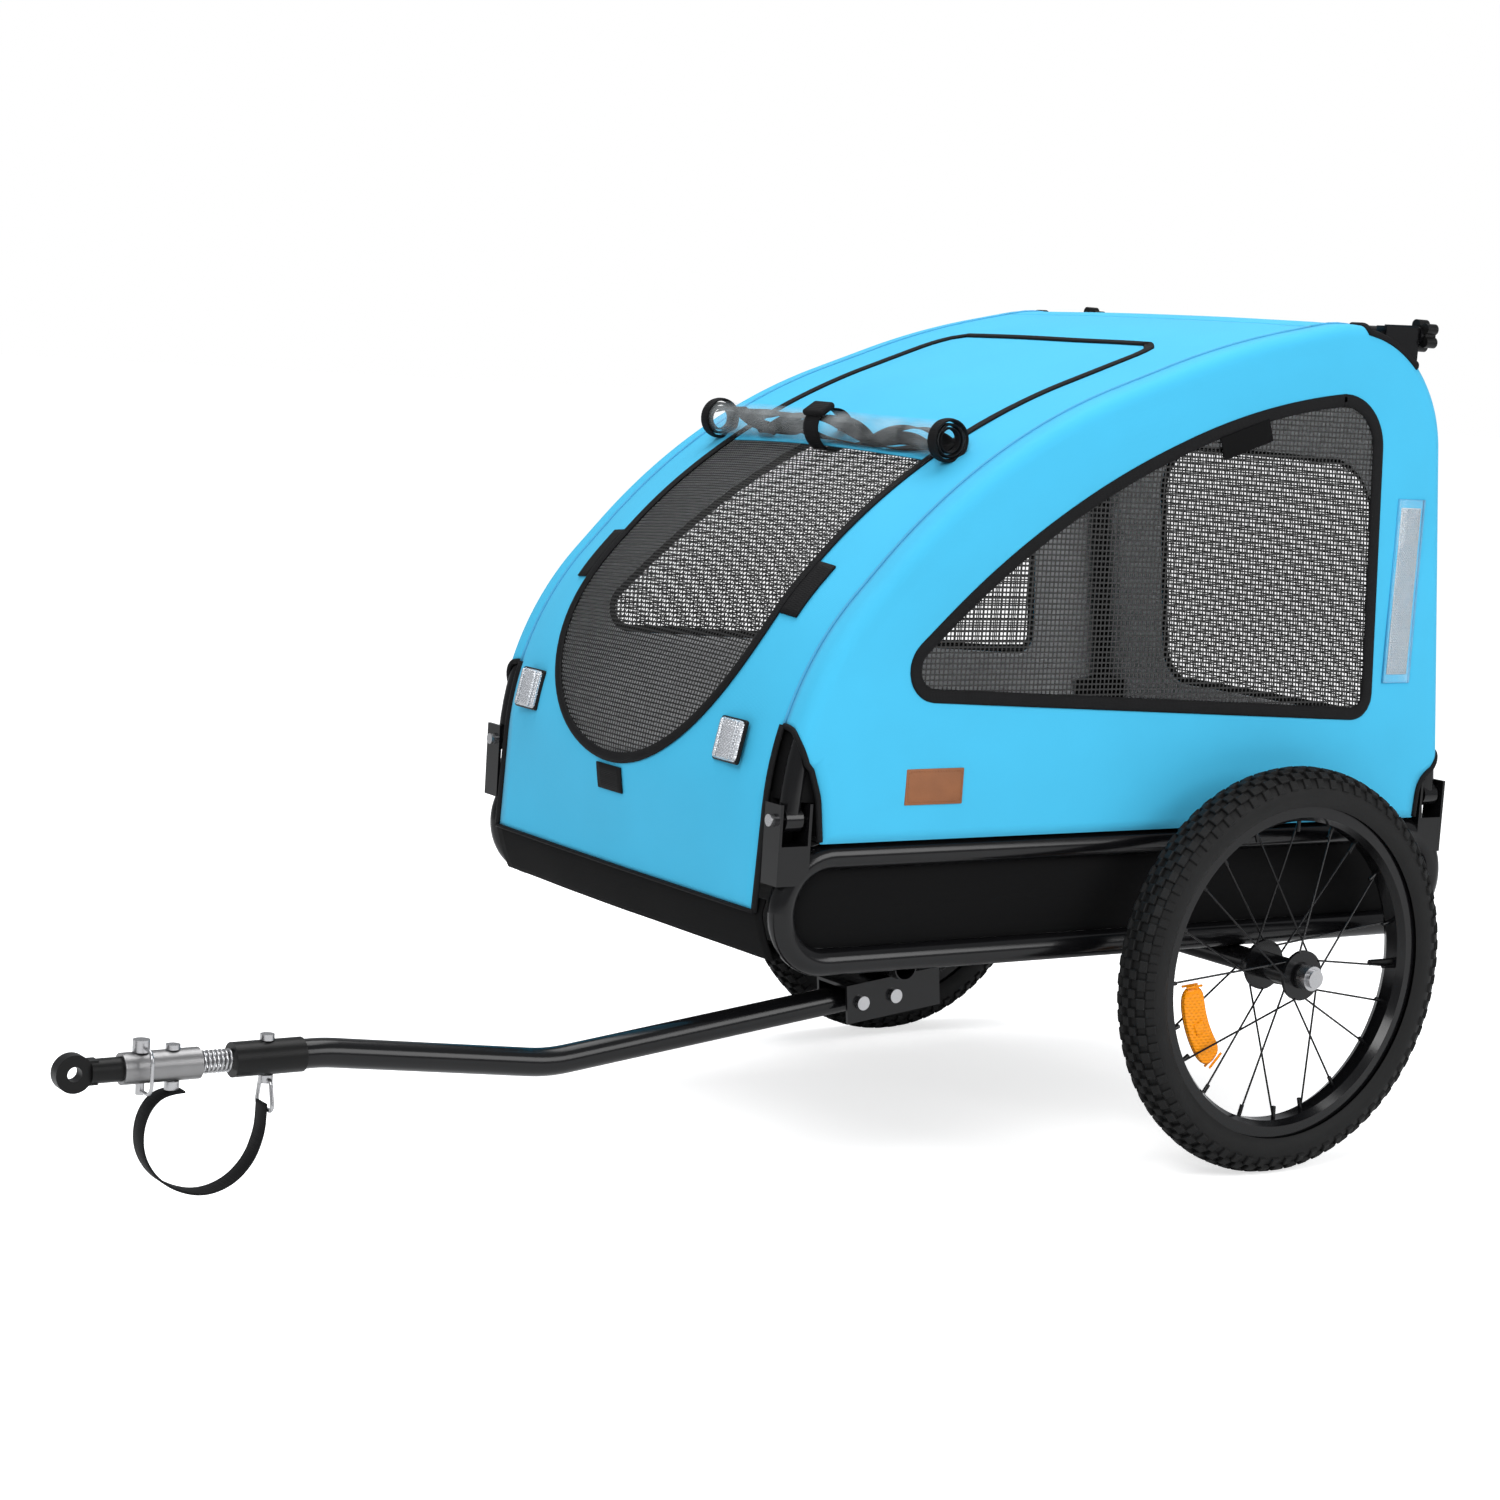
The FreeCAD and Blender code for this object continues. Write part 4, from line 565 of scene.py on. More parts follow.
BLUE = cloth("blue_cloth", (0.050, 0.468, 0.745), fold=0.5, sheen=0.06, shine=0.3)
# The lining's pale colour is painted light: it stands in for light that shines through the thin cloth and the
# nets into the cabin.
LINING_PAINTED_GLOW = cloth("pale_lining_painted_glow", (0.80, 0.81, 0.82), fold=0.3)
BLACK_CLOTH = cloth("black_cloth", (0.0035, 0.0035, 0.0037), fold=0.4, sheen=0.0, shine=0.09)
BINDING = webbing("black_binding", (0.005, 0.005, 0.0055))
WINDOW_NET = netting("window_net", (0.008, 0.008, 0.008), 0.0050, 0.68)
DOOR_NET = netting("door_net", (0.008, 0.008, 0.008), 0.0042, 0.62)
STEEL_BLACK = coated("black_coat", (0.004, 0.004, 0.0045))
BOARD = moulded("dark_board", (0.02, 0.02, 0.02), 0.6)
PLASTIC = moulded("black_plastic", (0.005, 0.005, 0.005), 0.36)
ZINC = metal("bright_zinc", (0.46, 0.46, 0.47), 0.26)
ALLOY = metal("silver_alloy", (0.26, 0.258, 0.26), 0.36)
TYRE = rubber("tyre_rubber", (0.006, 0.006, 0.006))
FILM = clear_film("clear_film")
SILVER = prism("silver_lens", (0.60, 0.62, 0.65), 0.0022, 0.22, 0.6)
AMBER = prism("amber_lens", (0.93, 0.30, 0.003), 0.0030, gloss=0.2)
TAPE = prism("reflective_tape", (0.72, 0.72, 0.73), 0.0016, 0.35)
TAN = leather("tan_leather", (0.25, 0.086, 0.026))
THREAD = cloth("blue_thread", (0.05, 0.36, 0.62))


# Front, roof and rear cloth

DOOR_HALF = 0.166       # half width of the door, and of the rear mesh
DOOR_TOP_BEND = 0.022
DOOR_TOP_STEPS = 8      # steps along the outline that the bend at the door's top takes
DOOR_FOOT_Z = 0.374
DOOR_FOOT_BEND = 0.150
REAR_TOP_Z = 0.690
REAR_TOP_BEND = 0.060
REAR_FOOT_Z = 0.420
REAR_FOOT_BEND = 0.040
BINDING_LIFT = 0.001
REAR_BINDING = 0.0065   # half widths of the bound edges: rear mesh, door, beside the hinges, hems
DOOR_BINDING = 0.0052
EDGE_BINDING = 0.0042
HEM_BINDING = 0.0032
EDGE_LIFT = 0.0006      # lift of the last two
SEAM_RADIUS = 0.0014
SEAM_INSET = 0.0005
SEAM_LIFT = 0.0003
NOTCH_TOPS = {True: 0.437, False: 0.404}    # heights of the hinge cut-outs, at the front and at the rear
DOOR_COLUMNS = 15       # columns of cloth on each side of the door
REAR_COLUMNS = 11       # and of the rear mesh


def corner_steps(front, heights):
    """Steps along the cover at given heights, so that round corners are smooth."""
    return sorted(between(height, front) for height in heights)


def bend_heights(edge, bend, way, parts):
    """Heights that close up towards the flat edge of a round corner."""
    return [edge + way * bend * (1 - math.cos(math.pi / 2 * part / parts)) for part in range(parts + 1)]


DOOR_FOOT = between(DOOR_FOOT_Z)
MESH_TOP = step_at_height(0.668)
DOOR_TOP = step_at_x(-0.083)
ROOF_SEAM = step_at_x(0.040)
REAR_TOP = between(REAR_TOP_Z, False)
REAR_FOOT = between(REAR_FOOT_Z, False)
DOOR_STEPS = corner_steps(True, bend_heights(DOOR_FOOT_Z, DOOR_FOOT_BEND, 1, 24))
DOOR_STEPS += range(math.ceil(between(DOOR_FOOT_Z + DOOR_FOOT_BEND)) + 1, MESH_TOP + 1)
REAR_STEPS = corner_steps(
    False, bend_heights(REAR_TOP_Z, REAR_TOP_BEND, -1, 10) + bend_heights(REAR_FOOT_Z, REAR_FOOT_BEND, 1, 10)
    + spread(REAR_TOP_Z - REAR_TOP_BEND, REAR_FOOT_Z + REAR_FOOT_BEND, 20)[1:-1])


def door_half_width(step):
    """Half width of the door at a step along the front cloth; none below its round foot."""
    rise = outline_at(step)[0][1] - DOOR_FOOT_Z
    down = min(1.0, max(0.0, 1 - rise / DOOR_FOOT_BEND))
    return DOOR_HALF * math.sqrt(1 - down * down)


def rear_half_width(step):
    """Half width of the rear mesh, which has round corners."""
    z = outline_at(step)[0][1]
    for bend, edge in ((REAR_TOP_BEND, REAR_TOP_Z - z), (REAR_FOOT_BEND, z - REAR_FOOT_Z)):
        if edge < bend:
            away = min(bend, bend - edge)
            return DOOR_HALF - bend + math.sqrt(bend * bend - away * away)
    return DOOR_HALF


def cloth_edge(step, front):
    """Half width of the cloth: it is narrower beside the hinges."""
    return HINGE_EDGE_Y if outline_at(step)[0][1] < NOTCH_TOPS[front] else SEAM_Y


def cloth_beside(half_width, steps, front, columns):
    """Cloth on both sides of an opening."""
    pieces = []
    for sign in (-1, 1):
        rows = []
        for step in steps:
            places = spread(half_width(step) * sign, cloth_edge(step, front) * sign, columns)
            rows.append([cover_point(step, y) for y in places][::sign])
        pieces.append(grid_object("cloth", rows, BLUE))
    return pieces


def cloth_across(steps, inner, front, columns, middle=0):
    """Cloth from edge to edge, whose columns meet those beside an opening of this half width."""
    rows = []
    for step in steps:
        left = spread(-cloth_edge(step, front), -inner, columns)
        places = left + spread(-inner, inner, middle)[1:-1] + [-y for y in left[::-1]]
        rows.append([cover_point(step, y) for y in places])
    return grid_object("cloth", rows, BLUE)


def lined_cloth(name, pieces, node_name):
    """Front or rear cloth with its lining, in one piece."""
    item = thickened(joined(name, pieces, WELD), CLOTH_THICKNESS, -1.0, LINING_PAINTED_GLOW)
    soft_cover(item, "blue_cloth", node_name)


def net_sheet(name, steps, half_width, node_name):
    """Mesh panel of the cover, a little inside the cloth."""
    columns = 41
    middle = columns // 2
    rows = []
    runs = []
    for step in steps:
        half = max(half_width(step), 0.004)
        rows.append([cover_point(step, y, -NET_INSET) for y in spread(-half, half, columns)])
        runs.append(runs[-1] + (rows[-1][middle] - rows[-2][middle]).length if runs else 0.0)
    net = grid_object(name, rows, DOOR_NET)
    metre_map(net, lambda vertex: (vertex.co.y, runs[vertex.index // columns]))
    soft_cover(net, "black_mesh", node_name)


def build_cover():
    """Front cloth with the roof, rear cloth and their two meshes."""
    pieces = cloth_beside(door_half_width, DOOR_STEPS, True, DOOR_COLUMNS)
    below = list(range(0, int(DOOR_FOOT) + 1)) + [DOOR_FOOT]
    pieces.append(cloth_across(below, 0.0, True, DOOR_COLUMNS))
    above = range(MESH_TOP, ROOF_SEAM + 1)
    pieces.append(cloth_across(above, DOOR_HALF, True, DOOR_COLUMNS, 17))
    lined_cloth("front_cloth", pieces, "canopy_front")

    pieces = cloth_beside(rear_half_width, REAR_STEPS, False, REAR_COLUMNS)
    upper = list(range(ROOF_SEAM, math.ceil(REAR_TOP))) + [REAR_TOP]
    lower = [REAR_FOOT] + list(range(int(REAR_FOOT) + 1, LAST + 1))
    for steps, edge in ((upper, REAR_TOP), (lower, REAR_FOOT)):
        pieces.append(cloth_across(steps, rear_half_width(edge), False, REAR_COLUMNS, 13))
    lined_cloth("rear_cloth", pieces, "canopy_rear")

    net_sheet("door_mesh", DOOR_STEPS[1:], door_half_width, "front_mesh")
    net_sheet("rear_net", REAR_STEPS, rear_half_width, "rear_mesh")


def cover_tube(name, places, radius, lift=BINDING_LIFT, material=BINDING, **look):
    """Tube that lies on the cover; each place is a step along it and a distance across."""
    path = [cover_point(step, y, lift) for step, y in places]
    return tube_object(name, path, radius, material, **look)


def build_rear_binding():
    """Bound edge of the rear mesh."""
    sill = rear_half_width(REAR_FOOT)
    head = rear_half_width(REAR_TOP)
    places = [(step, rear_half_width(step)) for step in REAR_STEPS]
    places += [(REAR_FOOT, y) for y in spread(sill, -sill, 13)[1:-1]]
    places += [(step, -rear_half_width(step)) for step in REAR_STEPS[::-1]]
    places += [(REAR_TOP, y) for y in spread(-head, head, 13)[1:-1]]
    binding = cover_tube("rear_binding", places, REAR_BINDING, closed=True, flat=0.4, up=outward(REAR_FOOT))
    soft_cover(binding, "black_webbing")


def build_door_binding():
    """Bound edge of the door: round foot, both sides and over the roof."""
    path = []
    ups = []
    for step in reversed(DOOR_STEPS[1:] + list(range(MESH_TOP + 2, DOOR_TOP + 1, 2))):
        half = door_half_width(step)
        tuck = (step - DOOR_TOP + DOOR_TOP_STEPS) / DOOR_TOP_STEPS
        if tuck > 0:
            half = DOOR_HALF - DOOR_TOP_BEND * (1 - math.sqrt(max(0.0, 1 - tuck * tuck)))
        path.append(cover_point(step, half, BINDING_LIFT))
        ups.append(outward(step))
    mirrored = [Vector((point.x, -point.y, point.z)) for point in path[::-1]]
    path += [cover_point(DOOR_FOOT, 0.0, BINDING_LIFT)] + mirrored
    ups += ups[-1:] + ups[::-1]
    for y in spread(-DOOR_HALF + DOOR_TOP_BEND, DOOR_HALF - DOOR_TOP_BEND, 15):
        path.append(cover_point(DOOR_TOP, y, BINDING_LIFT))
        ups.append(outward(DOOR_TOP))
    binding = tube_object("door_binding", path, DOOR_BINDING, BINDING, closed=True, flat=0.38, up=ups)
    soft_cover(binding, "black_webbing")


def build_cover_edges():
    """Fine seams beside the side cloth, and bound edges beside the hinges and along the hems."""
    for name, front, first, final in (("front", True, 0, ROOF_SEAM), ("rear", False, ROOF_SEAM, LAST)):
        steps = [step for step in range(first, final + 1, 2) if PROFILE[step][1] > NOTCH_TOPS[front]]
        seams = []
        for sign in (-1, 1):
            places = [(step, sign * (SEAM_Y - SEAM_INSET)) for step in steps]
            seams.append(cover_tube("seam", places, SEAM_RADIUS, SEAM_LIFT, THREAD, sides=6))
        soft_cover(joined(name + "_seams", seams), "blue_cloth")

    edges = []
    for front, hem, way in ((True, 0, 1), (False, LAST, -1)):
        steps = range(hem, step_at_height(NOTCH_TOPS[front], front) + way, 2 * way)
        for sign in (-1, 1):
            places = [(step, sign * HINGE_EDGE_Y) for step in steps]
            ups = [outward(step) for step in steps]
            edges.append(cover_tube("edge", places, EDGE_BINDING, EDGE_LIFT, sides=8, flat=0.5, up=ups))
        places = [(hem, y) for y in spread(-HINGE_EDGE_Y, HINGE_EDGE_Y, 25)]
        edges.append(cover_tube("edge", places, HEM_BINDING, EDGE_LIFT, sides=8, flat=0.6))
    soft_cover(joined("cloth_bindings", edges), "black_webbing")


# Reflectors, tabs and rain cover on the front

LENS_SIZE = 0.038
LENS_STEP = step_at_height(0.416)
LENS_Y = 0.182
RIB_SIZE = (0.036, 0.0035, 0.003)
BACK_SIZE = (0.041, 0.041, 0.005)
TABS = (                # place across, height, length, width
    (-0.183, 0.546, 0.066, 0.022), (0.183, 0.546, 0.066, 0.022), (0, 0.356, 0.024, 0.044),
)
ROLL_STEP = step_at_height(0.676)
ROLL_RADIUS = 0.0186
ROLL_TURNS = 2.4
ROLL_PITCH = 0.0022     # how much smaller the roll gets in a turn
ROLL_HALF = 0.199       # half of the rolled cover's length
ROLL_LIFT = 0.0208
ROLL_CENTRE = at(PROFILE[ROLL_STEP][0], 0, PROFILE[ROLL_STEP][1]) + outward(ROLL_STEP) * ROLL_LIFT
BAND_RADIUS = 0.0200
BAND_HALF = 0.012
KNOT_REACH = 0.0225
KNOT_SIZE = (0.020, 0.032, 0.007)
END_RINGS = ((0.0190, 0.0130), (0.0148, 0.0110), (0.0112, 0.0090))  # radius and width of the bound ends
RIBBONS = ((0.6, 0.0125), (2.4, 0.0118), (4.4, 0.0122))     # phase and distance from the roll's middle


def build_front_reflectors():
    """Square lenses with two ribs, on black backs."""
    lenses = []
    backs = []
    for sign in (-1, 1):
        place = Matrix.Translation(cover_point(LENS_STEP, sign * LENS_Y, 0.001)) @ leaning(LENS_STEP)
        lens_size = (LENS_SIZE, LENS_SIZE, 0.008)
        lenses.append(block("lens", lens_size, SILVER, 0.004, 4, place @ moved(0, 0, 0.004)))
        for share in (-0.3, 0.3):
            rib_place = place @ moved(0, share * LENS_SIZE, 0.0085)
            lenses.append(block("rib", RIB_SIZE, SILVER, 0.0012, 2, rib_place))
        backs.append(block("back", BACK_SIZE, PLASTIC, 0.0035, 4, place @ moved(0, 0, 0.0025)))
    soft_cover(joined("front_lenses", lenses), "silver_reflector", "front_reflectors")
    soft_cover(joined("front_lens_backs", backs), "black_plastic")


def build_tabs():
    """Hook-and-loop tabs round the door."""
    tabs = []
    for y, height, length, width in TABS:
        middle = step_at_height(height)
        stride = np.linalg.norm(PROFILE[middle + 1] - PROFILE[middle - 1]) / 2
        reach = max(2, int(round(length / stride / 2)))
        rows = []
        for step in range(middle - reach, middle + reach + 1):
            rows.append([cover_point(step, y + w, 0.0016) for w in spread(-width / 2, width / 2, 7)])
        tabs.append(thickened(grid_object("tab", rows, BINDING), 0.0016))
    soft_cover(joined("hook_tabs", tabs), "black_webbing", "door_tabs")


def build_rain_cover():
    """Clear cover, rolled up, with bound ends, loose ribbons inside and the band that holds it."""
    rows = []
    for turn in spread(0.0, ROLL_TURNS, 97):
        radius = ROLL_RADIUS - ROLL_PITCH * turn
        rows.append([ROLL_CENTRE + polar(2 * math.pi * turn, radius, y)
                     for y in spread(-ROLL_HALF, ROLL_HALF, 25)])
    film = grid_object("rain_cover", rows, FILM)
    soft_cover(film, "clear_sheet", "rain_cover_roll")

    trims = []
    angles = [2 * math.pi * part / 40 for part in range(40)]
    for sign in (-1, 1):
        for radius, width in END_RINGS:
            ring = [ROLL_CENTRE + polar(angle, radius, sign * (ROLL_HALF - 0.0058)) for angle in angles]
            ups = [polar(angle) for angle in angles]
            trims.append(tube_object("ring", ring, width / 2, BINDING, closed=True, flat=0.26, up=ups))
    for phase, reach in RIBBONS:
        ribbon = []
        ups = []
        for share in spread(-1.0, 1.0, 60):
            angle = phase + 2.6 * math.sin(3.1 * share + phase) + 1.4 * share
            radius = reach * (0.86 + 0.14 * math.cos(7 * share + phase))
            ribbon.append(ROLL_CENTRE + polar(angle, radius, share * (ROLL_HALF - 0.008)))
            ups.append(polar(angle))
        trims.append(tube_object("ribbon", ribbon, 0.0064, BINDING, sides=8, flat=0.12, up=ups))
    soft_cover(joined("rain_cover_binding", trims), "black_webbing")

    rows = []
    for angle in spread(0.0, 2 * math.pi, 41):
        radius = BAND_RADIUS + 0.0006 * math.sin(3 * angle)
        rows.append([ROLL_CENTRE + polar(angle, radius, y) for y in spread(-BAND_HALF, BAND_HALF, 7)])
    band = thickened(grid_object("band", rows, BINDING), 0.0012, 1.0)
    knot_place = Matrix.Translation(ROLL_CENTRE + outward(ROLL_STEP) * KNOT_REACH) @ leaning(ROLL_STEP)
    knot = block("knot", KNOT_SIZE, BINDING, 0.003, 3, knot_place)
    soft_cover(joined("roll_band", [band, knot]), "black_webbing", "roll_strap")


# Side cloth

WINDOW = (
    (-0.470, 0.467, 0.026), (0.137, 0.440, 0.020), (0.118, 0.759, 0.050),
    (-0.035, 0.741, 0.750), (-0.284, 0.636, 0.900),
)
SIDE_MIDDLE = np.array((-0.115, 0.560))
SIDE_HEM = 0.3345
HEM_FRONT_X = -0.5250
HEM_REAR_X = 0.2175
SIDE_BELLY = 0.0016     # how far the side cloth stands out between its edge and the window
HEM_INNER = 0.2505      # the hem is turned in over the side loop as far as this
HEM_CLEAR = 0.001       # points that are less than this above the hem belong to it
NOTCH_STEPS = 12        # steps over which the rounded edge slopes down to a hinge cut-out
NOTCH_LEAD = 5.5        # steps that it slopes by at the front
NOTCH_TRAIL = 3.5       # and at the rear
GUSSET_DEPTH = 0.0040
GUSSET_PAST = 0.012     # how far gussets go on behind the cloth
GUSSET_FOOT_Z = 0.374
KNOB_X = 0.092          # the rounded edge is cut out behind this place and above this height for the knobs
KNOB_Z = 0.790
KNOB_COLUMNS = 7        # points of the rounded edge left out there
BINDING_SECTION = (     # place across the window's edge, and lift
    (-0.0080, -0.0008), (-0.0075, 0.0010), (-0.0030, 0.0018),
    (0.0020, 0.0018), (0.0046, 0.0012), (0.0050, -0.0008),
)
TAB_PLACE = (-0.056, 0.709)     # bare tab at the window's upper edge
TAB_LEAN = -0.33
TAPE_X = 0.1715
TAPE_Z = 0.5655
POCKET_HALF = (0.018, 0.092)    # half sizes of the pocket's stitched edge
TAPE_SIZE = (0.027, 0.0016, 0.167)
POCKET_SIZE = (0.036, 0.0008, 0.184)
TAB_SIZE = (0.064, 0.0010, 0.022)
CORNER_EDGES = ((-0.563, 1), (0.2565, -1))      # place of the corner cloth's outer edge, and way inwards
CORNER_HEIGHTS = (0.300, 0.378)
CORNER_LINE = ((0.0, 0.2330), (0.006, 0.2385), (0.014, 0.2412), (0.030, 0.2414), (0.048, 0.2414))


def by_angle(loop, outer):
    """Loop points at the angles of the outer points, seen from the side panel's middle."""
    away = loop - SIDE_MIDDLE
    angle = np.unwrap(np.arctan2(away[:, 1], away[:, 0]))
    if angle[-1] < angle[0]:
        loop = loop[::-1]
        angle = angle[::-1]
    apart = outer - SIDE_MIDDLE
    wrapped = angle[0] + np.mod(np.arctan2(apart[:, 1], apart[:, 0]) - angle[0], 2 * math.pi)
    full = np.concatenate((angle, (angle[0] + 2 * math.pi,)))
    line = np.vstack((loop, loop[:1]))
    return np.stack([np.interp(wrapped, full, line[:, axis]) for axis in (0, 1)], axis=1)


def edge_places(depth=0.0):
    """Section of the side cloth's rounded edge, or one that lies deeper: place across and inset."""
    places = [(SEAM_Y, depth), ((SEAM_Y + SIDE_Y - EDGE_ROLL) / 2, depth)]
    roll = EDGE_ROLL - depth
    for angle in spread(0.0, math.pi / 2, 9):
        places.append((SIDE_Y - EDGE_ROLL + roll * math.sin(angle), EDGE_ROLL - roll * math.cos(angle)))
    return places + [(SIDE_Y - depth, FLAT_INSET)]


def edge_rows():
    """Rounded edge from the front hinge's cut-out over the roof to the rear one; its ends slope down."""
    first = between(NOTCH_TOPS[True])
    final = between(NOTCH_TOPS[False], False)
    count = int(final - first)
    places = edge_places()
    rows = []
    for index in range(count + 1):
        step = first + (final - first) * index / count
        row = []
        for column, (y, inset) in enumerate(places):
            slope = (column / (len(places) - 1)) ** 1.6
            lead = max(0.0, 1 - index / NOTCH_STEPS) * slope * NOTCH_LEAD
            trail = max(0.0, 1 - (count - index) / NOTCH_STEPS) * slope * NOTCH_TRAIL
            place, normal = outline_at(step - lead + trail)
            x, z = place - normal * inset
            row.append((x, y, z))
        rows.append(row)
    return rows


def side_outline(rows):
    """Flat part of the side panel: the rounded edge's last points, then hinge cut-outs and hem."""
    upper = [(row[-1][0], row[-1][2]) for row in rows]
    lower = rounded([
        upper[-1] + (0.0,), (HEM_REAR_X + 0.001, 0.373, 0.026), (HEM_REAR_X - 0.002, SIDE_HEM, 0.0),
        (HEM_FRONT_X + 0.002, SIDE_HEM, 0.0), (HEM_FRONT_X - 0.003, 0.376, 0.050), upper[0] + (0.0,)])
    return np.array(upper), resampled(lower, 260)


def build_window(name, sign, window):
    """Window net and its bound edge."""
    body = name + "_hoop"
    rows = []
    for share in spread(1.0, 0.0, 12):
        rows.append([at(x, sign * (SIDE_Y - NET_INSET), z)
                     for x, z in window * share + SIDE_MIDDLE * (1 - share)])
    net = grid_object(name + "_window_net", rows, WINDOW_NET, True)
    metre_map(net, lambda vertex: (vertex.co.x, vertex.co.z))
    dressed(net, body, "black_mesh", name + "_window_mesh")

    loop = resampled(rounded(WINDOW, True), 420, True)
    away = sideways(np.roll(loop, -1, axis=0) - np.roll(loop, 1, axis=0))
    away *= np.sign(np.sum(away * (loop - SIDE_MIDDLE), axis=1))[:, None]
    rows = [[at(x, sign * (SIDE_Y + lift), z) for x, z in loop + away * offset]
            for offset, lift in BINDING_SECTION]
    dressed(grid_object(name + "_window_binding", rows, BINDING, True), body, "black_webbing")


def build_gusset(name, sign, front):
    """Black cloth behind a hinge cut-out."""
    flat = [(SIDE_Y - GUSSET_DEPTH, FLAT_INSET + reach) for reach in (0.012, 0.026)]
    places = [(SEAM_Y - GUSSET_PAST, GUSSET_DEPTH)] + edge_places(GUSSET_DEPTH) + flat
    rows = []
    for height in spread(GUSSET_FOOT_Z, NOTCH_TOPS[front] + GUSSET_PAST, 14):
        place, normal = outline_at(between(height, front))
        row = []
        for y, inset in places:
            x, z = place - normal * inset
            row.append(at(x + ripple(x, y, z, size=0.02, height=0.0006), sign * y, z))
        rows.append(row)
    gusset = grid_object(name + ("_front_gusset" if front else "_rear_gusset"), rows, BLACK_CLOTH)
    dressed(gusset, name + "_hoop", "black_cloth")


def build_reflective_strip(name, sign):
    """Silver tape in a clear pocket with a stitched edge."""
    body = name + "_hoop"
    face = sign * (SIDE_Y + 0.0016)
    place = Matrix.Translation(at(TAPE_X, face, TAPE_Z))
    tape = block(name + "_tape", TAPE_SIZE, TAPE, 0.0006, 2, place)
    dressed(tape, body, "reflective_tape", name + "_reflective_strip")
    place = Matrix.Translation(at(TAPE_X, sign * (SIDE_Y + 0.0028), TAPE_Z))
    pocket = block(name + "_tape_pocket", POCKET_SIZE, FILM, 0.0003, 2, place)
    dressed(pocket, body, "clear_sheet")
    hem = [at(TAPE_X + u, face, TAPE_Z + v) for u, v in rectangle(*POCKET_HALF)]
    stitched = tube_object(name + "_pocket_hem", hem, 0.0011, THREAD, sides=6, closed=True, up=(0, 1, 0))
    dressed(stitched, body, "blue_cloth")


def build_side(name, sign):
    """One folding side: cloth, window, gussets, bindings and reflective strip."""
    body = name + "_hoop"
    edge = edge_rows()
    upper, lower = side_outline(edge)
    outer = np.vstack((upper, lower[1:-1]))
    window = by_angle(resampled(rounded(WINDOW, True), 900, True), outer)

    rows = []
    for share in spread(0.0, 1.0, 13):
        swell = math.sin(math.pi * share)
        row = []
        for x, z in outer + (window - outer) * share:
            belly = SIDE_BELLY + ripple(x, sign, z, size=0.10, height=0.0011)
            row.append(at(x, sign * (SIDE_Y + belly * swell), z))
        rows.append(row)
    pieces = [grid_object("side", rows, BLUE, True)]
    roll = [[at(x, sign * y, z) for x, y, z in row] for row in edge]
    knob_rows = [index for index, row in enumerate(edge) if row[0][2] > KNOB_Z and row[0][0] > KNOB_X]
    low, high = knob_rows[0], knob_rows[-1]
    for part in (roll[:low + 1], [row[KNOB_COLUMNS:] for row in roll[low:high + 1]], roll[high:]):
        pieces.append(grid_object("roll", part, BLUE))
    side = thickened(joined(name + "_side_cloth", pieces, WELD), SIDE_THICKNESS, -1.0, LINING_PAINTED_GLOW)
    dressed(side, body, "blue_cloth", name + "_side_panel")

    build_window(name, sign, window)

    # bindings at the hinge cut-outs, the hem and the knob's cut-out
    edges = []
    above = lower[lower[:, 1] > SIDE_HEM + HEM_CLEAR]
    for start, line in ((roll[-1], above[above[:, 0] > 0]), (roll[0], above[above[:, 0] < 0][::-1])):
        path = start[:-1] + [at(x, sign * (SIDE_Y + 0.0003), z) for x, z in line]
        edges.append(tube_object("edge", path, 0.0028, BINDING, sides=8, up=(0.3, sign * 0.95, 0.1)))
    for front in (True, False):
        build_gusset(name, sign, front)
    hem = lower[lower[:, 1] < SIDE_HEM + HEM_CLEAR][:, 0]
    turned_in = [[at(x, sign * y, SIDE_HEM + 0.0006) for y in spread(HEM_INNER, SIDE_Y - 0.0006, 5)]
                 for x in spread(hem.min(), hem.max(), 60)]
    edges.append(thickened(grid_object("hem", turned_in, BINDING), 0.0010))
    tab_place = Matrix.Translation(at(TAB_PLACE[0], sign * (SIDE_Y + 0.0014), TAB_PLACE[1]))
    tab_place = tab_place @ Matrix.Rotation(TAB_LEAN, 4, "Y")
    tab = block(name + "_window_tab", TAB_SIZE, BLACK_CLOTH, 0.0004, 2, tab_place)
    dressed(tab, body, "black_cloth")
    cut = roll[low][:KNOB_COLUMNS] + [row[KNOB_COLUMNS] for row in roll[low:high + 1]]
    cut += roll[high][:KNOB_COLUMNS][::-1]
    edges.append(tube_object("edge", cut, 0.0036, BINDING, sides=8, up=(0.7, sign * 0.1, 0.7)))
    dressed(joined(name + "_side_bindings", edges), body, "black_webbing")

    build_reflective_strip(name, sign)


def build_corner_cloth(name, sign):
    """Black cloth behind the two hinges of a side."""
    pieces = []
    for edge, way in CORNER_EDGES:
        rows = [[at(edge + way * reach, sign * y, z) for reach, y in CORNER_LINE]
                for z in spread(*CORNER_HEIGHTS, 9)]
        pieces.append(grid_object("corner", rows, BLACK_CLOTH))
    item = joined(name + "_corner_cloth", pieces)
    soft_cover(item, "black_cloth", joint=name + "_hoop_fold")


for side_name, side_sign in SIDES:
    build_side(side_name, side_sign)
    build_corner_cloth(side_name, side_sign)
build_cover()
build_rear_binding()
build_door_binding()
build_cover_edges()
build_front_reflectors()
build_tabs()
build_rain_cover()


# Wheels

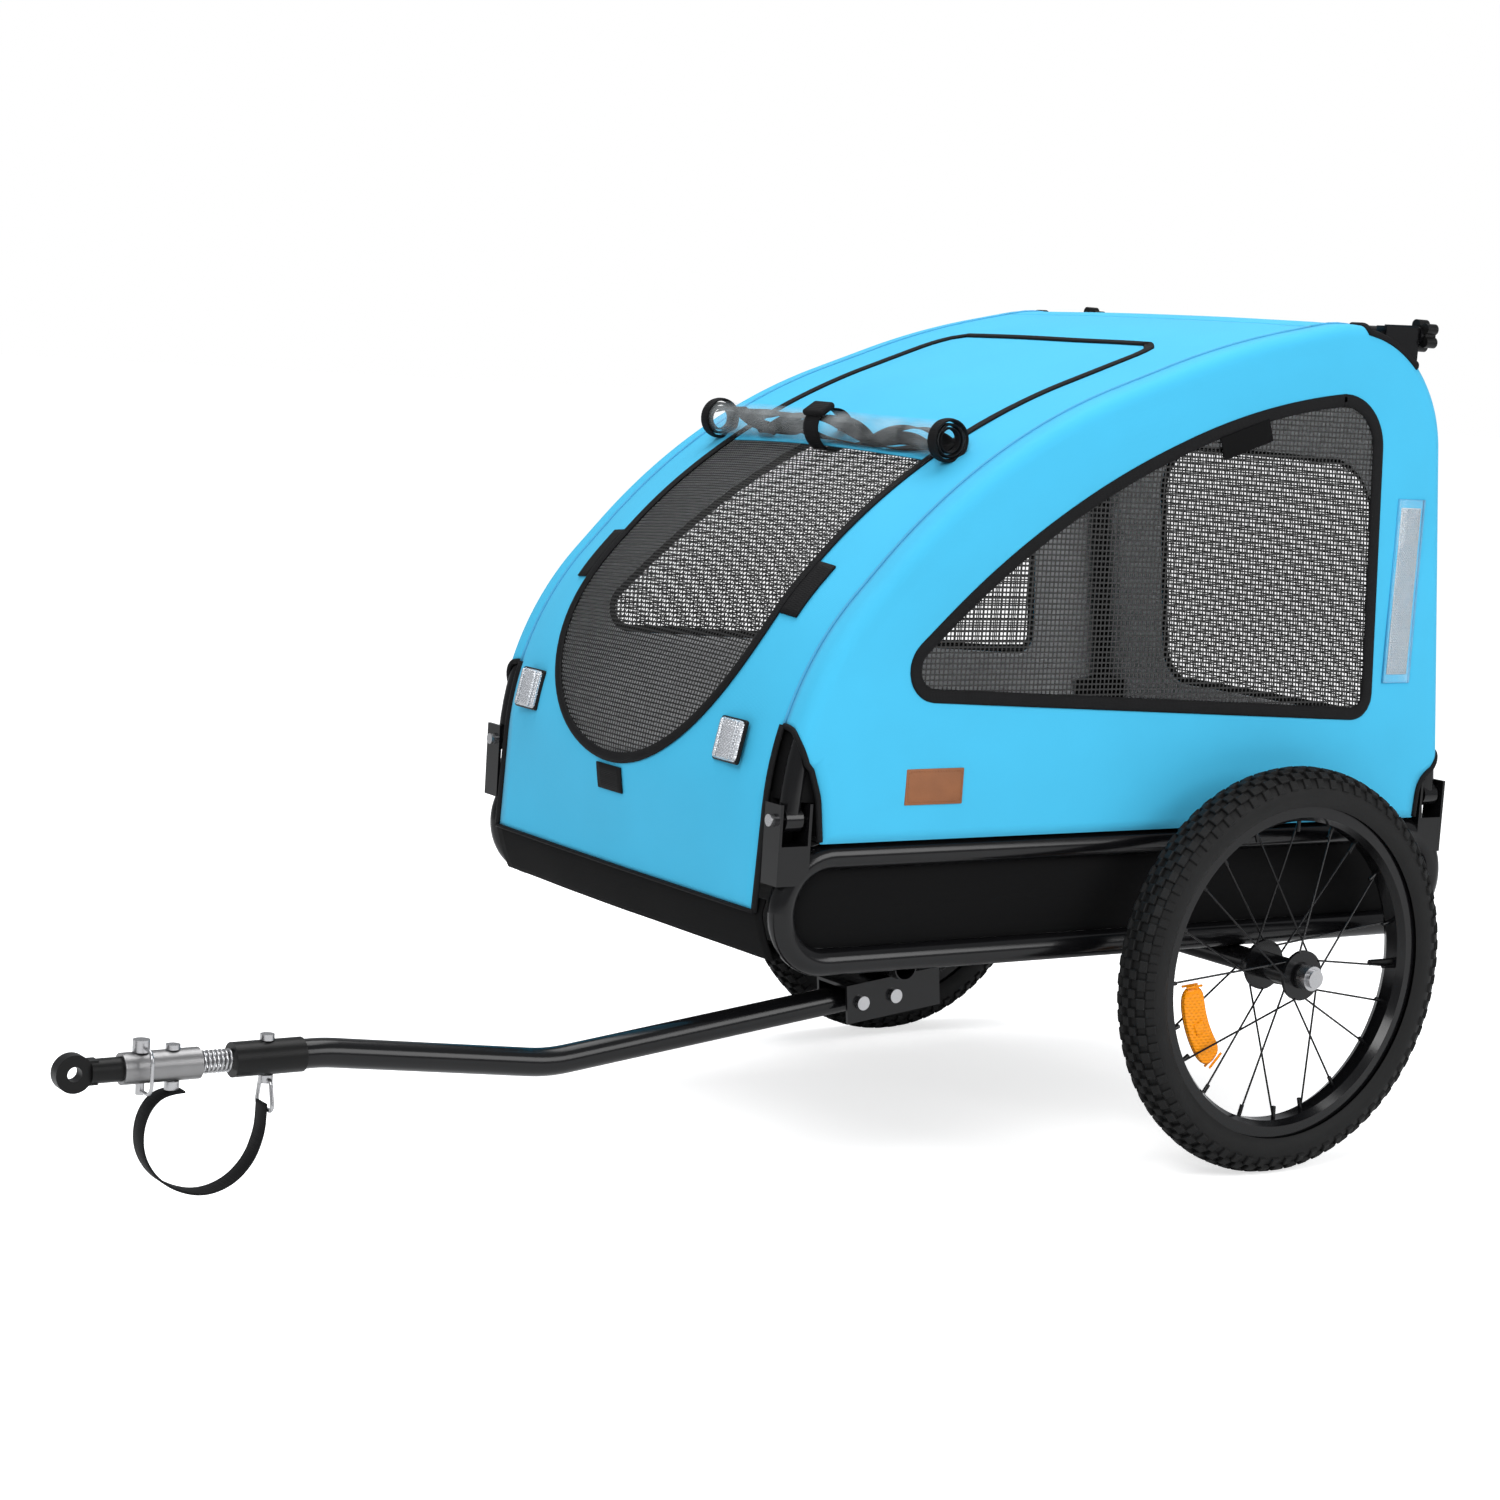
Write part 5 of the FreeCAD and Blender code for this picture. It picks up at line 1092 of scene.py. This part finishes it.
TYRE_RING = 0.176       # radius of the casing's middle line
TYRE_SECTION = 0.0205
TYRE_SPREAD = 1.13      # the casing is this much wider than it is thick
CASING_REACH = math.radians(128)
TREAD_COUNT = 68
TREAD = (               # angle across the tyre, phase, and length, width and height of the blocks
    (0.0, 0.0, 0.0105, 0.0088, 0.0035), (17.0, 0.5, 0.0095, 0.0080, 0.0035),
    (38.0, 0.0, 0.0115, 0.0085, 0.0035), (60.0, 0.5, 0.0090, 0.0100, 0.0022),
)
SPOKE_COUNT = 20
SPOKE_LEAD = 38.0       # degrees that a spoke's outer end runs ahead of its inner end, or behind it
NIPPLE_ENDS = (0.1365, 0.1372, 0.1475, 0.1485)
REFLECTOR_ANGLE = math.radians(205)
REFLECTOR_RADIUS = 0.116
REFLECTOR_LENGTH = 0.084
REFLECTOR_SECTION = (0.0135, 0.0038)    # half of its width and of its thickness
MIDDLE_CLIP = (0.012, 0.0030, 0.012)
END_CLIP = (0.0024, 0.0022, 0.020)
CLIP_OUT = 0.0034       # how far from the reflector's middle the clips lie
NIPPLE_RADIUS = 0.0021


def casing_point(middle, angle, spin):
    """Point on the tyre at an angle round the wheel and one across the casing."""
    radius = TYRE_RING + TYRE_SECTION * math.cos(spin)
    return middle + polar(angle, radius, TYRE_SECTION * TYRE_SPREAD * math.sin(spin))


def build_tyre(name, sign):
    """Round casing with rows of tread blocks and ribs on the shoulders."""
    middle = at(0, sign * WHEEL_Y, WHEEL_Z)
    around, about = 120, 22
    points = []
    for index in range(around):
        for spin in spread(-CASING_REACH, CASING_REACH, about):
            points.append(casing_point(middle, 2 * math.pi * index / around, spin))
    faces = grid_faces(around, about, True)
    casing_faces = len(faces)
    rows = [(way * math.radians(degrees), *rest) for degrees, *rest in TREAD
            for way in ((1, -1) if degrees else (1,))]
    for spin, phase, length, width, height in rows:
        for index in range(TREAD_COUNT):
            angle = 2 * math.pi * (index + phase) / TREAD_COUNT
            base = casing_point(middle, angle, spin)
            out = polar(angle, math.cos(spin), math.sin(spin))
            ahead = Vector((-math.sin(angle), 0, math.cos(angle))) * (length / 2)
            across = out.cross(ahead).normalized() * (width / 2)
            start = len(points)
            for level, share in ((-0.001, 1.0), (height - 0.0007, 0.92), (height, 0.74)):
                for u, v in rectangle(1, 1):
                    points.append(base + out * level + ahead * (u * share) + across * (v * share))
            faces += [tuple(start + corner for corner in face) for face in grid_faces(3, 4, False, True)]
            faces.append(tuple(range(start + 8, start + 12)))
    tyre = mesh_object(name + "_tyre_tread", points, faces, TYRE)
    smooth = [index < casing_faces for index in range(len(tyre.data.polygons))]
    tyre.data.polygons.foreach_set("use_smooth", smooth)
    dressed(tyre, name + "_wheel", "tyre_rubber", name + "_tyre")


def amber_bar(middle):
    """Reflector bent to the wheel's round, with rounded ends and edges."""
    rings = []
    for share in spread(-1.0, 1.0, 41):
        way = polar(REFLECTOR_ANGLE + share * REFLECTOR_LENGTH / 2 / REFLECTOR_RADIUS)
        slim = max(0.02, 1 - abs(share) ** 7) ** 0.5
        ring = []
        for turn in [2 * math.pi * side / 20 for side in range(20)]:
            wide, deep = (math.copysign(abs(part) ** 0.45, part) * half * slim
                          for part, half in zip((math.cos(turn), math.sin(turn)), REFLECTOR_SECTION))
            ring.append(middle + way * (REFLECTOR_RADIUS + wide) + Vector((0, deep, 0)))
        rings.append(ring)
    return ring_object("lens", rings, AMBER)


def build_wheel_trim(name, sign):
    """Spoke nipples and the amber reflector with its clips."""
    middle = at(0, sign * WHEEL_Y, WHEEL_Z)
    nipples = []
    for index in range(SPOKE_COUNT):
        lead = math.radians(SPOKE_LEAD if index % 4 < 2 else -SPOKE_LEAD)
        ahead = polar(2 * math.pi * index / SPOKE_COUNT + lead)
        path = [middle + ahead * radius for radius in NIPPLE_ENDS]
        nipples.append(tube_object("nipple", path, NIPPLE_RADIUS, STEEL_BLACK, sides=8, up=(0, 1, 0)))
    dressed(joined(name + "_nipples", nipples), name + "_wheel", "black_steel")

    bars = [amber_bar(middle)]
    for share in (-0.5, 0.0, 0.5):
        angle = REFLECTOR_ANGLE + share * REFLECTOR_LENGTH / REFLECTOR_RADIUS
        spot = Matrix.Translation(middle + polar(angle) * REFLECTOR_RADIUS)
        turned = spot @ Matrix.Rotation(-angle + math.pi / 2, 4, "Y")
        size = END_CLIP if share else MIDDLE_CLIP
        for face in (-1, 1):
            bars.append(block("bar", size, AMBER, 0.0009, 3, turned @ moved(0, face * CLIP_OUT, 0)))
    dressed(joined(name + "_amber_lens", bars), name + "_wheel", "amber_reflector", name + "_wheel_reflector")


for side_name, side_sign in SIDES:
    build_tyre(side_name, side_sign)
    build_wheel_trim(side_name, side_sign)


# Base cloth, patch, strap and spring

LOOP_FRONT, LOOP_REAR = -0.542, 0.246       # inside of the side loops
LOOP_LOW, LOOP_HIGH = 0.2375, 0.3115
LOOP_CLOTH_Y = 0.255
LOOP_BULGE = 0.007      # how far the cloth in a loop stands out at its middle
END_HALF = 0.2425       # half width of the cloth across the ends
ENDS = (                # name, way inwards, place of the top, how far the foot lies in, its curve, cut length
    ("front", 1, -0.565, 0.017, 1.6, 0.088), ("rear", -1, 0.260, -0.010, 1.0, 0.085),
)
END_TOP_Z = 0.282
END_DROP = 0.056        # height of its part in view
END_TUCK = 0.005        # how far its top is tucked in
END_BOW = 0.004
UNDER_FLOOR = ((0.0075, 0.2285), (0.0160, 0.2335), (0.0250, 0.2352))    # how it goes on under the floor
PATCH_SIZE = (0.065, 0.0022, 0.033)
PATCH_PLACE = at(-0.4015, -SIDE_Y - 0.0016, 0.3835)
STITCHES = 112          # points round the patch; every second run between them is a stitch
STITCH_HALF = (0.030, 0.014)    # half sizes of the line of stitches
STITCH_BEND = 0.003
STRAP_ROUTE = (
    (-1.0960, 0.14705), (-1.1110, 0.14705), (-1.1240, 0.1375), (-1.1310, 0.120), (-1.1300, 0.098),
    (-1.1180, 0.078), (-1.0990, 0.065), (-1.0750, 0.059), (-1.0510, 0.066), (-1.0340, 0.083),
    (-1.0265, 0.103), (-1.0247, 0.117), (-1.0247, 0.131),
)
STRAP_HALF = 0.0100     # half of its width
STRAP_THICK = 0.0009    # half of its thickness
STRAP_SECTION = ((-1, -0.6), (-0.96, -1), (0.96, -1), (1, -0.6), (1, 0.6), (0.96, 1), (-0.96, 1), (-1, 0.6))
SPRING_FACES = (-0.58525, -0.59975, -0.61425)   # in the frame: collar, middle of the flex, sleeve
SPRING_COIL = 0.0084
SPRING_WIRE = 0.0013
SPRING_TURNS = 7


def build_side_lower_cloth(name, sign):
    """Black cloth in a side loop; its rows of points close in on a line along its middle."""
    bend = (LOOP_HIGH - LOOP_LOW) / 2 - 0.0005
    corners = [(x, z, bend) for x, z in ((LOOP_FRONT, LOOP_LOW), (LOOP_REAR, LOOP_LOW),
                                         (LOOP_REAR, LOOP_HIGH), (LOOP_FRONT, LOOP_HIGH))]
    loop = resampled(rounded(corners, True), 300, True)
    spine = np.stack((np.clip(loop[:, 0], LOOP_FRONT + bend, LOOP_REAR - bend),
                      np.full(len(loop), (LOOP_LOW + LOOP_HIGH) / 2)), axis=1)
    rows = []
    for share in spread(0.0, 1.0, 9):
        face = LOOP_CLOTH_Y + LOOP_BULGE * math.sin(share * math.pi / 2)
        row = []
        for x, z in loop + (spine - loop) * share:
            wave = ripple(x, sign, z, size=0.07, height=0.0012) * share
            row.append(at(x, sign * (face + wave), z))
        rows.append(row)
    panel = grid_object(name + "_lower_cloth", rows, BLACK_CLOTH, True)
    dressed(panel, "chassis", "black_cloth", "side_lower_panels")


def build_end_lower_cloth(name, turn, top_x, lean, curve, cut_length):
    """Black cloth across an end, turned under the floor; turn is the way inwards along X."""
    line = []
    for share in spread(0.0, 1.0, 13):
        tuck = END_TUCK * max(0.0, 1 - share / 0.25)
        line.append((top_x + lean * share ** curve + turn * tuck, END_TOP_Z - END_DROP * share))
    line += [(line[-1][0] + turn * reach, z) for reach, z in UNDER_FLOOR]
    rows = []
    for x, z in line:
        row = []
        for y in spread(-END_HALF, END_HALF, 41):
            bow = END_BOW * (1 - (y / END_HALF) ** 2) + ripple(x, y, z, size=0.09, height=0.0012)
            row.append(at(x - turn * bow, y, z))
        rows.append(row)
    end = thickened(grid_object(name + "_lower_cloth", rows, BLACK_CLOTH), CLOTH_THICKNESS)
    dressed(end, "chassis", "black_cloth", "end_lower_panels")


def build_patch():
    """Bare leather patch on the left side, with stitches round its edge."""
    patch = block("leather_patch", PATCH_SIZE, TAN, 0.0009, 3, Matrix.Translation(PATCH_PLACE))
    dressed(patch, "left_hoop", "tan_leather", "leather_label")
    corners = [(x, z, STITCH_BEND) for x, z in rectangle(*STITCH_HALF)]
    line = resampled(rounded(corners, True), STITCHES, True)
    edge = [PATCH_PLACE + Vector((x, -0.0012, z)) for x, z in line]
    stitches = [tube_object("stitch", edge[index:index + 2], 0.00035, TAN, sides=6)
                for index in range(0, STITCHES, 2)]
    dressed(joined("patch_stitches", stitches), "left_hoop", "tan_leather")


def strap_path():
    """Smooth line along the strap's route."""
    data = bpy.data.curves.new("strap_line", "CURVE")
    data.dimensions = "3D"
    data.resolution_u = 8
    spline = data.splines.new("NURBS")
    spline.points.add(len(STRAP_ROUTE) - 1)
    for point, (x, z) in zip(spline.points, STRAP_ROUTE):
        point.co = (x + AXLE_X, DRAWBAR_Y, z, 1.0)
    spline.order_u = 3
    spline.use_endpoint_u = True
    line = bpy.data.objects.new("strap_line", data)
    bpy.context.scene.collection.objects.link(line)
    bpy.context.view_layer.update()
    path = [vertex.co.copy() for vertex in bpy.data.meshes.new_from_object(line).vertices]
    bpy.data.objects.remove(line)
    return path


def build_strap():
    """Flat webbing that hangs in a loop from the sleeve's bolt to the ring."""
    path = strap_path()
    rings = []
    for index, point in enumerate(path):
        ahead = (path[min(index + 1, len(path) - 1)] - path[max(index - 1, 0)]).normalized()
        normal = Vector((-ahead.z, 0, ahead.x))
        rings.append([point + Vector((0, u * STRAP_HALF, 0)) + normal * (v * STRAP_THICK)
                      for u, v in STRAP_SECTION])
    strap = ring_object("safety_webbing", rings, BINDING)
    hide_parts("safety_strap")
    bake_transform(strap)


def build_spring():
    """Hitch spring in two halves that meet at the middle of the flex."""
    first, last = SPRING_FACES[0] - SPRING_WIRE, SPRING_FACES[2] + SPRING_WIRE
    path = []
    for share in spread(0.0, 1.0, SPRING_TURNS * 28 + 1):
        angle = 2 * math.pi * SPRING_TURNS * share
        path.append(Vector((first + (last - first) * share, DRAWBAR_Y + SPRING_COIL * math.cos(angle),
                            HITCH_Z + SPRING_COIL * math.sin(angle))))
    middle = len(path) // 2
    collar, flex, sleeve = ((face, DRAWBAR_Y, HITCH_Z) for face in SPRING_FACES)
    for name, part, behind, ahead, start, end in (
        ("hitch_coil_rear", path[:middle + 1], "chassis", "hitch_flex", collar, flex),
        ("hitch_coil_front", path[middle:], "hitch_flex", "hitch", flex, sleeve),
    ):
        coil = tube_object(name, part, SPRING_WIRE, ZINC)
        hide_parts("hitch_spring")
        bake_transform(coil)


for side_name, side_sign in SIDES:
    build_side_lower_cloth(side_name, side_sign)
for end_values in ENDS:
    build_end_lower_cloth(*end_values)
build_patch()
build_strap()
build_spring()


# Finish of the CAD nodes that stay in view

def pairs(*names):
    """Names of the left and right one of each."""
    return [side + "_" + name for name in names for side, sign in SIDES]


NODE_MATERIALS = (
    (STEEL_BLACK, pairs("side_loop", "hoop", "rim", "hub", "spokes")
     + ["cross_tubes", "axle_beam", "spreader_bar", "drawbar_bracket", "drawbar_tube", "hinge_brackets"]),
    (BOARD, ["floor_panel"]),
    (PLASTIC, pairs("knob", "valve") + ["drawbar_collar", "hitch_coupling"]),
    (ZINC, pairs("release_button", "bearings")
     + ["hinge_bolts", "wheel_axles", "collar_bolt", "hanging_ring", "hitch_spring", "sleeve_bolt",
        "linch_pin", "linch_bail", "front_drawbar_pin", "rear_drawbar_pin"]),
    (ALLOY, ["hitch_sleeve"]),
)
for finish, labels in NODE_MATERIALS:
    for label in labels:
        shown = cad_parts[label]
        shown.data.materials.clear()
        shown.data.materials.append(finish)


# Floor, light and camera; their places are those of the frame itself

FLOOR_HALF = 40.0
LAMPS = (               # name, place, power, size
    ("Key", (-2.6, -2.2, 2.8), 75.0, 1.6),
    ("Fill", (1.8, -3.2, 1.8), 50.0, 1.8),
    ("Top", (0.3, 0.4, 3.4), 70.0, 2.4),
)
LAMP_AIM = Vector((0.2, 0, 0.4))
SENSOR = 36.0
FOCAL_SHARE = 3032.2759 / 1500      # focal length over the picture's width, as fitted to the photo
CAMERA_PLACE = (-1.593277, -2.427762, 0.764991)
CAMERA_YAW, CAMERA_PITCH, CAMERA_ROLL = -0.5934, 0.1313, 0.0636


def build_stage():
    """Pale floor, a world that the camera sees as white, and three soft lamps."""
    paint = Paint("pale_floor", (0.93, 0.93, 0.93), 0.9)
    paint.shade(Specular_IOR_Level=0.0, Emission_Color=(1.0, 1.0, 1.0, 1.0))
    seen = paint.node("LightPath").outputs["Is Camera Ray"]
    paint.shade(Emission_Strength=paint.math("MULTIPLY", seen, 0.66))
    corners = [(x, y, 0) for x, y in rectangle(FLOOR_HALF, FLOOR_HALF)]
    mesh_object("floor", corners, [(0, 1, 2, 3)], paint.material)

    world = bpy.data.worlds.new("Studio")
    bpy.context.scene.world = world
    world.use_nodes = True
    tree = world.node_tree
    soft = tree.nodes["Background"]
    plain = tree.nodes.new("ShaderNodeBackground")
    for light, colour, strength in ((soft, (0.95, 0.97, 1.0, 1.0), 0.42), (plain, (1.0, 1.0, 1.0, 1.0), 1.0)):
        light.inputs["Color"].default_value = colour
        light.inputs["Strength"].default_value = strength
    rays = tree.nodes.new("ShaderNodeLightPath")
    mixed = tree.nodes.new("ShaderNodeMixShader")
    tree.links.new(rays.outputs["Is Camera Ray"], mixed.inputs["Fac"])
    tree.links.new(soft.outputs[0], mixed.inputs[1])
    tree.links.new(plain.outputs[0], mixed.inputs[2])
    tree.links.new(mixed.outputs[0], tree.nodes["World Output"].inputs["Surface"])

    for name, place, power, size in LAMPS:
        lamp = bpy.data.lights.new(name, "AREA")
        lamp.energy = power
        lamp.size = size
        holder = bpy.data.objects.new(name, lamp)
        bpy.context.scene.collection.objects.link(holder)
        holder.location = place
        holder.rotation_euler = (LAMP_AIM - Vector(place)).to_track_quat("-Z", "Y").to_euler()


def build_camera():
    """Camera fitted to the photo."""
    level = math.cos(CAMERA_PITCH)
    back = Vector((math.sin(CAMERA_YAW) * level, -math.cos(CAMERA_YAW) * level, math.sin(CAMERA_PITCH)))
    right = Vector((math.cos(CAMERA_YAW), math.sin(CAMERA_YAW), 0))
    up = back.cross(right)
    turned_right = right * math.cos(CAMERA_ROLL) + up * math.sin(CAMERA_ROLL)
    turned_up = up * math.cos(CAMERA_ROLL) - right * math.sin(CAMERA_ROLL)
    data = bpy.data.cameras.new("Camera")
    data.sensor_width = SENSOR
    data.lens = SENSOR * FOCAL_SHARE
    data.clip_end = 100
    camera = bpy.data.objects.new("Camera", data)
    bpy.context.scene.collection.objects.link(camera)
    rotation = Matrix((turned_right, turned_up, back)).transposed().to_4x4()
    camera.matrix_world = Matrix.Translation(CAMERA_PLACE) @ rotation
    bpy.context.scene.camera = camera


build_stage()
build_camera()
bpy.context.scene.view_settings.view_transform = "Standard"
